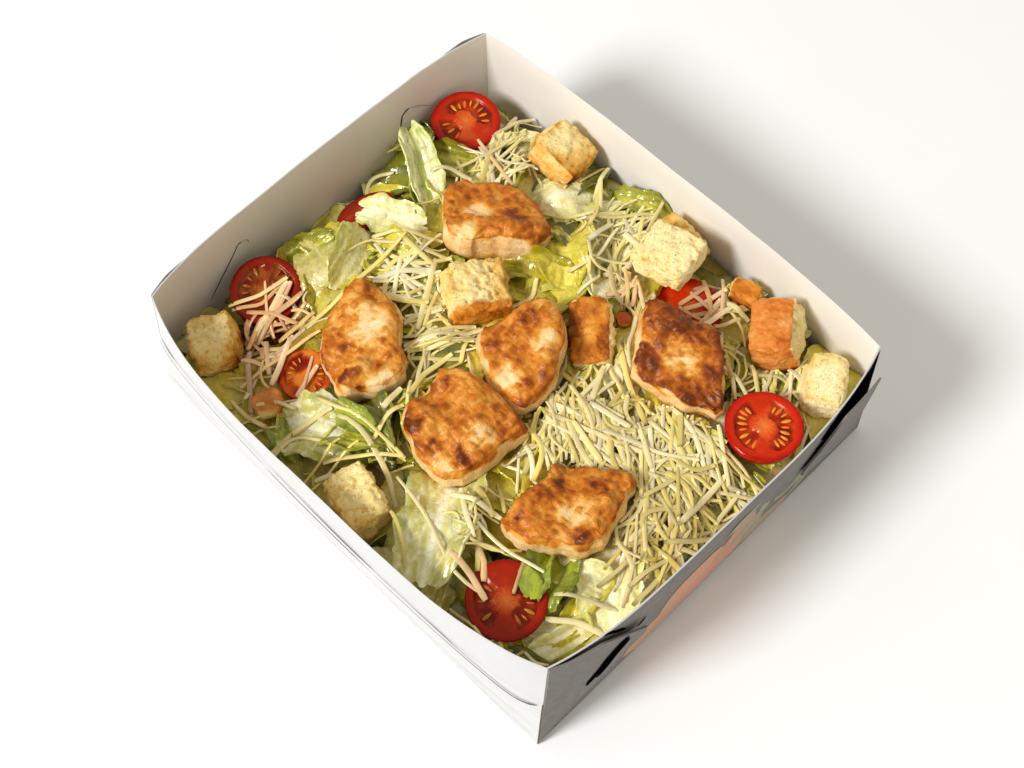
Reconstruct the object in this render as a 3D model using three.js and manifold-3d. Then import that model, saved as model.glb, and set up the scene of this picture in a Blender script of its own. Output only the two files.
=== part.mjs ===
// Chicken caesar salad in its open paperboard takeaway tray.
// Millimetres, +Z up. The tray's floor lies on z = 0, centred on the origin; its long walls run along X.
import * as THREE from "three";
import { mergeVertices } from "three/addons/utils/BufferGeometryUtils.js";
import Module from "manifold-3d";

const wasm = await Module();
wasm.setup();

// ---- driving dimensions: the tray ----
const BASE = { x: 205, y: 177.5 };
const HEIGHT = 62;
const BOARD = 1.2;
const RIM_CORNERS = [[-99, -84.5], [99.3, -82.5], [99.8, 86], [-103.5, 89]];
const BOW = [11.3, 7.3, 4, 5.6];
const BOW_SQUARENESS = 3.8;
const BOW_RISE = 0.7;
const WALL_LEVELS = [7, 18];
const SEAM_Z = 34;
const PLY = 0.6;
const FOLD_TOLERANCE = 0.02;
const SIDE_STEPS = 8;
const FLAP_THICKNESS = 1;
const FLAP_SUNK = 0.4;
const FLAP_MOUTH_SHARE = 0.2;
// Gusset flaps: sections [distance from the corner, lower edge, upper edge] up to the flap's point.
const FLAT_FLAP = [[0.8, 1, 61.4], [5, 6, 61.2], [11, 11, 61], [24, 21, 59], [38, 28, 43], [48, 34, 36]];
const NEAR_FLAP = [[0.8, 1, 61.4], [5, 6, 61.2], [11, 11, 61], [21, 19, 60], [30, 29, 54], [42, 40, 45]];
const SPRUNG_FLAP = [[0.8, 1, 14], [5, 7, 38], [10, 11, 61], [31, 25, 60], [40, 29, 45], [48, 34, 38]];
const FLAPS = [
  { side: 1, fromStart: true, shape: NEAR_FLAP, mouth: 1.2, tip: 2.4 },
  { side: 1, fromStart: false, shape: SPRUNG_FLAP, mouth: 6, tip: 1 },
  { side: 3, fromStart: true, shape: FLAT_FLAP, mouth: 2, tip: 1.6 },
  { side: 3, fromStart: false, shape: FLAT_FLAP, mouth: 1.2, tip: 2 },
];

// ---- driving dimensions: the food ----
const FIT = 0.4;
const FACET_TOLERANCE = 0.1;
const FLOOR_GAP = 0.4;
const WALL_GAP = BOARD + 1;
const RIM_GAP = 1;
const HEAP = { halfLength: 104, halfWidth: 92, edge: 36, crown: 7.5, lowest: 10, steps: 11 };
const RIPPLE = { height: 1.3, alongX: 9.5, alongY: 8, diagonal: 6.5 };
const LEAF = { thickness: 1.3, sunk: 2.5, taper: 0.7, ruffle: 1.4, rows: 2, columns: 5 };
const SHRED = {
  width: 2, thickness: 1.6, sunk: 2, arch: 3.2, bend: 0.5, stations: 2,
  count: 46, minLength: 20, maxLength: 38, maxX: 94, minX: -92, maxY: 80, minY: -78,
};
const CHICKEN_SWELL = { broad: 0.9, small: 0.6, slack: 1.2 };
const CRUMB = { squareness: 7, roughness: 0.07 };

// Places where the heap falls away between the pieces: [x, y, radius, depth].
const HOLLOWS = [
  [-96, -66, 26, 17], [-103, -14, 22, 15], [-103, 16, 20, 14], [-92, 86, 22, 16],
  [24, -88, 18, 9], [-28, -92, 16, 8], [98, 58, 14, 8], [-12, 20, 14, 5], [96, 14, 14, 6],
  [-52, -68, 18, 9], [36, 60, 15, 7],
];

// Seared chicken: outline of the widest section round its centre, thickness, and slope of the top.
const CHICKEN = [
  { at: [-43, 31, 47], thick: 17, slope: [0.1, -0.12],
    outline: [[-22, -4], [-21, 4], [-10, 15], [-1, 19], [12, 17], [21, 13], [21, 4], [10, -7],
      [6, -15], [-3, -18], [-14, -12]] },
  { at: [-36, -38, 46], thick: 17, slope: [0.05, 0.05],
    outline: [[-22, 19], [-12, 19], [-5, 20], [8, 10], [22, 0], [20, -7], [11, -20], [-2, -19],
      [-14, -11], [-20, 1]] },
  { at: [12, -39, 48], thick: 18, slope: [-0.04, 0.06],
    outline: [[-20, 12], [-13, 17], [2, 19], [21, 15], [19, 3], [17, -14], [11, -18], [-1, -18],
      [-11, -15], [-17, -8], [-17, 1]] },
  { at: [9, 1, 49], thick: 16, slope: [0.05, 0.1],
    outline: [[-14, 14], [-7, 20], [3, 17], [14, 2], [17, -9], [16, -18], [7, -20], [-8, -16],
      [-17, -10], [-15, 2]] },
  { at: [50, 36, 48], thick: 15, slope: [-0.12, 0.12],
    outline: [[-25, 9], [-8, 15], [3, 17], [17, 6], [26, -5], [15, -10], [0, -15], [-9, -16],
      [-16, -4]] },
  { at: [63, -33, 48], thick: 16, slope: [0.08, -0.05],
    outline: [[-18, 8], [-4, 18], [5, 25], [11, 21], [14, 8], [18, -3], [15, -9], [2, -17],
      [-9, -24], [-15, -21], [-16, -8], [-15, 2]] },
];

// Croutons: centre, size along its own axes, and turns about X, Y and Z in degrees.
const CROUTONS = [
  { at: [-82, -74, 34.5], size: [24, 19, 17], turn: [6, 8, -28] },
  { at: [6.5, -81, 43], size: [25, 18, 16], turn: [6, 4, -12] },
  { at: [-24, 6, 46.5], size: [25, 24, 19], turn: [8, 8, 60] },
  { at: [-48.5, 76.5, 44], size: [23, 21, 18], turn: [-6, 24, 6] },
  { at: [17, 66.5, 53], size: [24, 23, 11], turn: [2, -4, 10] },
  { at: [12, 81, 41.5], size: [22, 13, 14], turn: [22, 0, -6] },
  { at: [66, 72.8, 45], size: [19, 25, 20], turn: [4, -22, 34] },
  { at: [91.4, 70.6, 42], size: [16, 23, 15], turn: [0, 0, 30] },
  { at: [17.8, 24.6, 46], size: [17, 28, 14], turn: [20, -10, 44] },
  { at: [45, 80.5, 41], size: [13, 10, 9], turn: [10, 0, 20] },
];

// Cherry tomato halves, cut face up: centre of the cut face, its diameter, depth, and lean in degrees.
const TOMATOES = [
  { at: [-89, 63, 42], across: 28, depth: 13, lean: [4, 4] },
  { at: [-85.5, -46, 39], across: 27.5, depth: 13, lean: [10, 10] },
  { at: [-48.5, -58.5, 36], across: 21, depth: 10, lean: [4, 4] },
  { at: [88, 39, 49], across: 28, depth: 13, lean: [0, -2] },
  { at: [69.7, -71, 47], across: 28, depth: 13, lean: [6, 6] },
  { at: [33, 61, 38], across: 26, depth: 12, lean: [12, 8] },
  { at: [-88, 7, 36], across: 25, depth: 12, lean: [0, -30] },
  { at: [-49, -77, 37], across: 11, depth: 6, lean: [10, 0] },
  { at: [21, 38.5, 44], across: 7, depth: 5, lean: [10, 10] },
];

// Lettuce that stands out of the heap: [x, y, length, width, turn, rise at its tip, fold].
const LEAVES = [
  [-86, 32, 30, 14, 112, 9, 3], [-80, 46, 27, 13, 20, 5, 3], [-72, 8, 30, 16, 30, 7, 4],
  [-74, -8, 30, 20, -60, 6, 3], [-71, -28, 30, 21, 75, 5, 4], [-90, -22, 17, 13, 60, 8, 2],
  [-60, -1, 24, 16, 15, 4, 3], [-35, 61, 24, 22, 60, 7, 5], [-12, 82, 24, 13, 20, 5, 4],
  [-16, 48, 30, 18, -50, 5, 3], [-16, 29, 28, 18, 30, 4, 3], [-24, -72, 30, 21, 25, 5, 3],
  [-12, -58, 26, 18, -35, 4, 3], [-30, -86, 18, 15, 10, 5, 3], [33, -66, 46, 24, -62, 6, 4],
  [46, -78, 26, 18, 20, 5, 3], [74, -52, 22, 16, -70, 6, 4], [86, -32, 32, 20, -35, 6, 4],
  [94, 20, 17, 10, 35, 5, 2], [-74, 76, 17, 14, 40, 6, 3],
];

// Where the grated cheese lies thickest: [x, y, spread].
const CHEESE = [
  [52, 2, 26], [42, -12, 24], [74, 4, 22], [20, -2, 22], [-52, 56, 20], [-20, 70, 16],
  [-58, -66, 20], [-52, -18, 20], [4, 44, 18], [86, -40, 16], [30, -60, 20], [66, 60, 18],
];

const COLOURS = {
  board: 0xf1efec, lettuce: 0xc9cf86, chicken: 0xc98a45, crouton: 0xdfb877, tomato: 0xb8291a,
};

function seededRandom(seed) {
  let state = seed >>> 0;
  return () => {
    state = (state + 0x6d2b79f5) >>> 0;
    let mixed = Math.imul(state ^ (state >>> 15), state | 1);
    mixed ^= mixed + Math.imul(mixed ^ (mixed >>> 7), mixed | 61);
    return ((mixed ^ (mixed >>> 14)) >>> 0) / 4294967296;
  };
}

const lerp = THREE.MathUtils.lerp;
const radians = THREE.MathUtils.degToRad;

// ---- solids from rings of points ----

function solid(points, triangles) {
  const geometry = new THREE.BufferGeometry();
  geometry.setAttribute("position", new THREE.Float32BufferAttribute(points.flat(), 3));
  geometry.setIndex(triangles.flat());
  return geometry;
}

// Rings of equal length, counter-clockwise seen from above and listed upwards, closed at both ends.
function loft(rings, bottomPole, topPole) {
  const count = rings[0].length;
  const points = [...rings.flat(), bottomPole, topPole];
  const bottom = points.length - 2;
  const top = points.length - 1;
  const last = (rings.length - 1) * count;
  const triangles = [];
  for (let i = 0; i < count; i += 1) {
    const next = (i + 1) % count;
    triangles.push([bottom, next, i]);
    triangles.push([top, last + i, last + next]);
    for (let ring = 0; ring < last; ring += count) {
      triangles.push([ring + i, ring + next, ring + count + i]);
      triangles.push([ring + next, ring + count + next, ring + count + i]);
    }
  }
  return solid(points, triangles);
}

// A bar through a row of sections, each a ring of corners, with flat ends.
function bar(sections) {
  const corners = sections[0].length;
  const points = sections.flat();
  const last = (sections.length - 1) * corners;
  const triangles = [];
  for (let k = 0; k < corners; k += 1) {
    const next = (k + 1) % corners;
    for (let s = 0; s < last; s += corners) {
      triangles.push([s + k, s + next, s + corners + k]);
      triangles.push([s + next, s + corners + next, s + corners + k]);
    }
  }
  for (let k = 1; k < corners - 1; k += 1) {
    triangles.push([0, k + 1, k]);
    triangles.push([last, last + k, last + k + 1]);
  }
  return solid(points, triangles);
}

// A thin sheet over a grid of [x, y, z] points, both faces split into triangles alike.
function sheet(grid, thickness) {
  const rows = grid.length;
  const columns = grid[0].length;
  const half = thickness / 2;
  const upper = grid.flat().map(([x, y, z]) => [x, y, z + half]);
  const lower = grid.flat().map(([x, y, z]) => [x, y, z - half]);
  const under = rows * columns;
  const triangles = [];
  for (let r = 0; r < rows - 1; r += 1) {
    for (let c = 0; c < columns - 1; c += 1) {
      const a = r * columns + c;
      const faces = [[a, a + 1, a + columns + 1], [a, a + columns + 1, a + columns]];
      for (const [p, q, s] of faces) {
        triangles.push([p, q, s]);
        triangles.push([under + p, under + s, under + q]);
      }
    }
  }
  const edge = [];
  for (let c = 0; c < columns - 1; c += 1) edge.push(c);
  for (let r = 0; r < rows - 1; r += 1) edge.push(r * columns + columns - 1);
  for (let c = columns - 1; c > 0; c -= 1) edge.push((rows - 1) * columns + c);
  for (let r = rows - 1; r > 0; r -= 1) edge.push(r * columns);
  edge.forEach((here, i) => {
    const next = edge[(i + 1) % edge.length];
    triangles.push([here, under + here, next]);
    triangles.push([next, under + here, under + next]);
  });
  return solid([...upper, ...lower], triangles);
}

// ---- joining and cutting ----

function toManifold(geometry) {
  const bare = geometry.clone();
  bare.deleteAttribute("normal");
  bare.deleteAttribute("uv");
  const merged = mergeVertices(bare, 1e-4);
  return new wasm.Manifold(new wasm.Mesh({
    numProp: 3,
    vertProperties: new Float32Array(merged.attributes.position.array),
    triVerts: new Uint32Array(merged.index.array),
  }));
}

function toGeometry(body) {
  const mesh = body.getMesh();
  const geometry = new THREE.BufferGeometry();
  geometry.setAttribute("position", new THREE.BufferAttribute(new Float32Array(mesh.vertProperties), 3));
  geometry.setIndex(new THREE.BufferAttribute(new Uint32Array(mesh.triVerts), 1));
  return geometry;
}

// The one largest piece, without loose scraps and with inner hollows filled.
function largest(body) {
  const pieces = body.decompose();
  return pieces.reduce((best, piece) => (piece.volume() > best.volume() ? piece : best));
}

// ---- the tray ----

const BASE_CORNERS = [[-1, -1], [1, -1], [1, 1], [-1, 1]].map(([i, j]) => [i * BASE.x / 2, j * BASE.y / 2]);

function corner(side, z, inset) {
  const [bx, by] = BASE_CORNERS[side % 4];
  const [rx, ry] = RIM_CORNERS[side % 4];
  const rise = z / HEIGHT;
  return [lerp(bx, rx, rise) - Math.sign(bx) * inset[0], lerp(by, ry, rise) - Math.sign(by) * inset[1]];
}

// A point on one wall at a share of its length, pushed out by the wall's bow and by `out`.
function wallPoint(side, share, z, inset = [0, 0], out = 0) {
  const from = corner(side, z, inset);
  const to = corner(side + 1, z, inset);
  const length = Math.hypot(to[0] - from[0], to[1] - from[1]);
  const outward = [(to[1] - from[1]) / length, (from[0] - to[0]) / length];
  const swell = 1 - Math.abs(2 * share - 1) ** BOW_SQUARENESS;
  const push = BOW[side % 4] * swell * (Math.max(z, 0) / HEIGHT) ** BOW_RISE + out;
  return [lerp(from[0], to[0], share) + outward[0] * push, lerp(from[1], to[1], share) + outward[1] * push];
}

function outline(z, inset, steps = SIDE_STEPS) {
  const ring = [];
  for (let side = 0; side < 4; side += 1) {
    for (let i = 0; i < steps; i += 1) {
      const share = 0.5 - 0.5 * Math.cos(Math.PI * i / steps);
      const even = i / steps;
      ring.push([...wallPoint(side, lerp(even, share, 0.6), z, inset), z]);
    }
  }
  return ring;
}

function trayShell() {
  const outer = [0, ...WALL_LEVELS, SEAM_Z].map((z) => outline(z, [0, 0]));
  outer.push(outline(SEAM_Z + 0.5, [0, -PLY]));
  outer.push(outline(HEIGHT, [0, -PLY]));
  const inner = [BOARD, ...WALL_LEVELS, SEAM_Z, HEIGHT].reverse().map((z) => outline(z, [BOARD, BOARD]));
  return loft([...outer, ...inner], [0, 0, 0], [0, 0, BOARD]);
}

// A corner's folded gusset: a tapering flap outside a short wall, from its corner to a point.
// `mouth` is how far its top edge stands off the wall near the corner, and `tip` how far its point does.
function gusset({ side, fromStart, shape, mouth, tip }) {
  const reach = shape.at(-1)[0];
  const sections = shape.map(([along, low, high]) => {
    const share = along / reach;
    const place = fromStart ? along / BASE.y : 1 - along / BASE.y;
    const gape = Math.min(share / FLAP_MOUTH_SHARE, 1) * (1 - share);
    const edge = (extra) => [low, lerp(low, high, 0.5), high].map((z) => {
      const lift = mouth * gape * (z / HEIGHT) + tip * share * share - FLAP_SUNK * (1 - share);
      return [...wallPoint(side, place, z, [0, 0], lift + extra), z];
    });
    return [...edge(0), ...edge(FLAP_THICKNESS).reverse()];
  });
  return bar(fromStart ? sections.map((ring) => [...ring].reverse()) : sections);
}

function tray() {
  const flaps = FLAPS.map((flap) => toManifold(gusset(flap)));
  const body = flaps.reduce((shell, flap) => shell.add(flap), toManifold(trayShell()));
  return toGeometry(largest(body.simplify(FOLD_TOLERANCE)));
}

// ---- toppings: each is also made in a plain form, a little larger, that shapes its bed in the heap ----

function chickenChunk({ outline: corners, thick, slope }, seed, bed) {
  const grow = bed ? FIT + CHICKEN_SWELL.slack : 0;
  const steps = bed ? 13 : 22;
  const random = seededRandom(seed);
  const phases = [random(), random(), random()].map((value) => value * Math.PI * 2);
  const curve = new THREE.CatmullRomCurve3(
    corners.map(([x, y]) => new THREE.Vector3(x, y, 0)), true, "centripetal");
  const edge = curve.getSpacedPoints(steps).slice(0, steps).reverse();
  const bump = (x, y) => CHICKEN_SWELL.broad * Math.sin(x / 5 + phases[0]) * Math.cos(y / 6 + phases[1])
    + CHICKEN_SWELL.small * Math.sin((x + y) / 3.4 + phases[2]);
  const fine = [[0.62, -0.5], [0.9, -0.4], [1, -0.1], [0.99, 0.2], [0.9, 0.42], [0.6, 0.5]];
  const plain = [[0.92, -0.5], [1, -0.3], [1, 0.5]];
  const half = thick / 2;
  const rings = (bed ? plain : fine).map(([scale, level]) => edge.map(({ x, y }) => {
    const spread = scale * (1 + grow / Math.hypot(x, y));
    const lean = (slope[0] * x + slope[1] * y) * (0.5 + level);
    const relief = level > 0.3 ? bump(x * scale, y * scale) : 0;
    return [x * spread, y * spread, level * (thick + 2 * grow) + lean + relief];
  }));
  return loft(rings, [0, 0, -half - grow], [0, 0, half + grow + bump(0, 0)]);
}

function croutonCube({ size }, seed, bed) {
  const random = seededRandom(seed);
  const steps = bed ? 1 : 3;
  const geometry = new THREE.BoxGeometry(2, 2, 2, steps, steps, steps);
  geometry.deleteAttribute("normal");
  geometry.deleteAttribute("uv");
  const cube = mergeVertices(geometry, 1e-3);
  const position = cube.attributes.position;
  for (let i = 0; i < position.count; i += 1) {
    const unit = [position.getX(i), position.getY(i), position.getZ(i)];
    const norm = bed ? 1
      : unit.reduce((sum, value) => sum + Math.abs(value) ** CRUMB.squareness, 0) ** (1 / CRUMB.squareness);
    const rough = bed ? 1 : 1 - CRUMB.roughness * random();
    const [x, y, z] = unit.map((value, axis) => value / norm * (rough * size[axis] / 2 + (bed ? FIT : 0)));
    position.setXYZ(i, x, y, z);
  }
  return cube;
}

function tomatoHalf({ across, depth }, bed) {
  const grow = bed ? FIT + 0.05 * across / 2 : 0;
  const radius = across / 2;
  const steps = bed ? 10 : Math.round(10 + across / 3.5);
  const fine = [[0.55, -0.85], [0.86, -0.5], [1, -0.1], [0.96, 0]];
  const plain = [[0.6, -0.85], [1, -0.3], [1, 0]];
  const rings = (bed ? plain : fine).map(([r, z]) => Array.from({ length: steps }, (_, i) => {
    const angle = Math.PI * 2 * i / steps;
    const reach = r * radius + grow;
    return [reach * Math.cos(angle), reach * Math.sin(angle), z * depth + Math.sign(z + 0.04) * grow];
  }));
  return loft(rings, [0, 0, -depth - grow], [0, 0, 0.02 * depth + grow]);
}

function placement(at, turnX, turnY, turnZ) {
  const turn = new THREE.Euler(radians(turnX), radians(turnY), radians(turnZ), "ZYX");
  return new THREE.Matrix4().compose(
    new THREE.Vector3(...at), new THREE.Quaternion().setFromEuler(turn), new THREE.Vector3(1, 1, 1));
}

// Every topping: its node name, material, place, and a maker of the piece or of its plain bed.
const TOPPINGS = [
  ...CHICKEN.map((spec, i) => ({
    name: `chicken_${i + 1}`, kind: "chicken", matrix: placement(spec.at, 0, 0, 0),
    make: (bed) => chickenChunk(spec, 11 + i, bed),
  })),
  ...CROUTONS.map((spec, i) => ({
    name: `crouton_${i + 1}`, kind: "crouton", matrix: placement(spec.at, ...spec.turn),
    make: (bed) => croutonCube(spec, 31 + i, bed),
  })),
  ...TOMATOES.map((spec, i) => ({
    name: `tomato_${i + 1}`, kind: "tomato", matrix: placement(spec.at, ...spec.lean, 0),
    make: (bed) => tomatoHalf(spec, bed),
  })),
];

// ---- the heap of lettuce and cheese ----

function heapHeight(x, y) {
  const out = Math.min(1, (Math.abs(x) / HEAP.halfLength) ** 3 + (Math.abs(y) / HEAP.halfWidth) ** 3);
  const ripple = RIPPLE.height * (Math.sin(x / RIPPLE.alongX + 1) * Math.cos(y / RIPPLE.alongY - 0.5)
    + Math.sin((x - y) / RIPPLE.diagonal));
  const sunk = HOLLOWS.reduce((sum, [hx, hy, radius, depth]) => {
    const near = ((x - hx) ** 2 + (y - hy) ** 2) / radius ** 2;
    return sum + depth * Math.exp(-near);
  }, 0);
  return Math.max(HEAP.edge + HEAP.crown * (1 - out) + ripple - sunk, HEAP.lowest);
}

function heapCore() {
  const floor = BOARD + FLOOR_GAP;
  const bottom = outline(floor, [WALL_GAP, WALL_GAP], HEAP.steps);
  const rim = bottom.map((_, i) => {
    let z = HEAP.edge;
    let point = [0, 0, z];
    for (let pass = 0; pass < 3; pass += 1) {
      point = outline(z, [WALL_GAP, WALL_GAP], HEAP.steps)[i];
      z = heapHeight(point[0], point[1]);
    }
    return [point[0], point[1], z];
  });
  const shares = [1, 0.9, 0.76, 0.6, 0.42, 0.22];
  const rings = shares.map((share) => rim.map(([x, y, z]) => {
    const height = share === 1 ? z : heapHeight(x * share, y * share);
    return [x * share, y * share, height];
  }));
  return loft([bottom, ...rings], [0, 0, floor], [0, 0, heapHeight(0, 0)]);
}

// The room inside the tray that the food may fill.
function cavity() {
  const levels = [BOARD + FLOOR_GAP, ...WALL_LEVELS, SEAM_Z, HEIGHT - RIM_GAP];
  const inset = WALL_GAP - 0.2;
  const rings = levels.map((z) => outline(z, [inset, inset]));
  return loft(rings, [0, 0, levels[0]], [0, 0, levels.at(-1)]);
}

function leaf([x, y, length, width, turn, rise, fold], seed) {
  const random = seededRandom(seed);
  const wave = random() * Math.PI * 2;
  const cos = Math.cos(radians(turn));
  const sin = Math.sin(radians(turn));
  const floor = heapHeight(x, y) - LEAF.sunk;
  const grid = [];
  for (let r = 0; r <= LEAF.rows; r += 1) {
    const across = 2 * r / LEAF.rows - 1;
    grid.push(Array.from({ length: LEAF.columns + 1 }, (_, c) => {
      const along = 2 * c / LEAF.columns - 1;
      const half = width / 2 * Math.sqrt(1 - LEAF.taper * along * along);
      const u = along * length / 2;
      const v = across * half + Math.sin(along * 3 + wave);
      const ruffle = LEAF.ruffle * Math.abs(across) * Math.sin(along * 7 + across * 2 + wave);
      const height = floor + rise * (0.5 + 0.5 * along) + fold * across * across + ruffle;
      return [x + u * cos - v * sin, y + u * sin + v * cos, height];
    }));
  }
  return sheet(grid, LEAF.thickness);
}

function shred(x, y, length, turn, bend) {
  const sections = [];
  for (let i = 0; i <= SHRED.stations; i += 1) {
    const along = 2 * i / SHRED.stations - 1;
    const angle = turn + bend * along;
    const cx = x + Math.cos(turn + bend * along / 2) * along * length / 2;
    const cy = y + Math.sin(turn + bend * along / 2) * along * length / 2;
    const side = [-Math.sin(angle) * SHRED.width / 2, Math.cos(angle) * SHRED.width / 2];
    const low = heapHeight(cx, cy) - SHRED.sunk + SHRED.arch * (1 - along * along);
    const high = low + SHRED.thickness;
    sections.push([
      [cx - side[0], cy - side[1], low], [cx + side[0], cy + side[1], low],
      [cx + side[0], cy + side[1], high], [cx - side[0], cy - side[1], high],
    ]);
  }
  return bar(sections);
}

function shreds() {
  const random = seededRandom(7);
  const scatter = () => random() + random() + random() - 1.5;
  return Array.from({ length: SHRED.count }, (_, i) => {
    const [x, y, spread] = CHEESE[i % CHEESE.length];
    const px = THREE.MathUtils.clamp(x + spread * scatter(), SHRED.minX, SHRED.maxX);
    const py = THREE.MathUtils.clamp(y + spread * scatter(), SHRED.minY, SHRED.maxY);
    const length = lerp(SHRED.minLength, SHRED.maxLength, random());
    return shred(px, py, length, random() * Math.PI, SHRED.bend * (random() - 0.5));
  });
}

function salad() {
  const beds = TOPPINGS.map(({ make, matrix }) => toManifold(make(true).applyMatrix4(matrix)));
  const fused = [...LEAVES.map((spec, i) => leaf(spec, 61 + i)), ...shreds()].map(toManifold);
  const heap = fused.reduce((body, piece) => body.add(piece), toManifold(heapCore()));
  const inside = heap.intersect(toManifold(cavity()));
  const fitted = beds.reduce((body, bed) => body.subtract(bed), inside);
  return toGeometry(largest(fitted.simplify(FACET_TOLERANCE)));
}

// ---- the finished object ----

function material(colour, roughness) {
  return new THREE.MeshStandardMaterial({ color: colour, roughness, metalness: 0 });
}

function named(name, geometry, finish, matrix = new THREE.Matrix4()) {
  const mesh = new THREE.Mesh(geometry, finish);
  mesh.name = name;
  mesh.applyMatrix4(matrix);
  return mesh;
}

const chickenCaesarSalad = new THREE.Group();
chickenCaesarSalad.add(named("tray", tray(), material(COLOURS.board, 0.75)));
chickenCaesarSalad.add(named("salad", salad(), material(COLOURS.lettuce, 0.5)));
for (const { name, kind, matrix, make } of TOPPINGS) {
  chickenCaesarSalad.add(named(name, make(false), material(COLOURS[kind], 0.55), matrix));
}

export default chickenCaesarSalad;
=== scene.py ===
# Chicken caesar salad in its open paperboard box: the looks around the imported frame.
# Lengths are millimetres in the frame's own axes, turned into metres when a piece is made.
import itertools
import math

import bpy
import numpy as np
from mathutils import Euler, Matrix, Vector
from mathutils.bvhtree import BVHTree


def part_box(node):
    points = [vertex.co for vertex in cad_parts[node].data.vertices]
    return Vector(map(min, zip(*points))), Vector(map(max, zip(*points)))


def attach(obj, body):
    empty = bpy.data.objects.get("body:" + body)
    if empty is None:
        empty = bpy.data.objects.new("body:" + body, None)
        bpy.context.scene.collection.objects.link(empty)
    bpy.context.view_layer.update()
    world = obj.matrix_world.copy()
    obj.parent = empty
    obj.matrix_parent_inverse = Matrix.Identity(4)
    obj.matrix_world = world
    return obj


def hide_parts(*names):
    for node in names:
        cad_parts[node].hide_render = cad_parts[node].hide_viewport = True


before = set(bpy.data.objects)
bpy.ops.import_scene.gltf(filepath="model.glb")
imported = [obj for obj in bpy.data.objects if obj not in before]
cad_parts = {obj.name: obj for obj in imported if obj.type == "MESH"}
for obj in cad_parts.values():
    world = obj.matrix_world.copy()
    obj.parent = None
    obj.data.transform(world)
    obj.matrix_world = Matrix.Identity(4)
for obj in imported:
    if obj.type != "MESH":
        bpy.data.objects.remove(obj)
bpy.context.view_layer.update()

MM = 0.001
# Above everything, where lines looking down start.
HIGH = 100

# ---- the tray, as the frame has it ----
BASE = (205.0, 177.5)
HEIGHT = 62.0
BOARD = 1.2
SHEET = 0.7
RIM_CORNERS = ((-99, -84.5), (99.3, -82.5), (99.8, 86), (-103.5, 89))
BOW = (11.3, 7.3, 4.0, 5.6)
BOW_SQUARENESS = 3.8
BOW_RISE = 0.7
SEAM_Z = 34.0
PLY = 0.6
CREASES = (23.0, 27.0)
SIDE_STEPS = 44
CORNER_CROWDING = 0.6
EDGE_ROUNDING = 0.12
NEAR_LEFT, NEAR_RIGHT, FAR_LEFT = 0, 1, 3
# Gusset flaps: [distance from the corner, lower edge, upper edge] up to the flap's point.
FLAT_FLAP = ((0.8, 1, 61.4), (5, 6, 61.2), (11, 11, 61), (24, 21, 59), (38, 28, 43), (48, 34, 36))
NEAR_FLAP = ((0.8, 1, 61.4), (5, 6, 61.2), (11, 11, 61), (21, 19, 60), (30, 29, 54), (42, 40, 45))
SPRUNG_FLAP = ((0.8, 1, 14), (5, 7, 38), (10, 11, 61), (31, 25, 60), (40, 29, 45), (48, 34, 38))
FLAPS = (
    (NEAR_RIGHT, True, NEAR_FLAP, 1.2, 2.4),
    (NEAR_RIGHT, False, SPRUNG_FLAP, 6.0, 1.0),
    (FAR_LEFT, True, FLAT_FLAP, 2.0, 1.6),
    (FAR_LEFT, False, FLAT_FLAP, 1.2, 2.0),
)
FLAP_THICKNESS = 0.8
FLAP_SUNK = 0.4
FLAP_MOUTH_SHARE = 0.2
FLAP_STATIONS = 26
FLAP_LEVELS = 7
LINE_STEPS = 34
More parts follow.
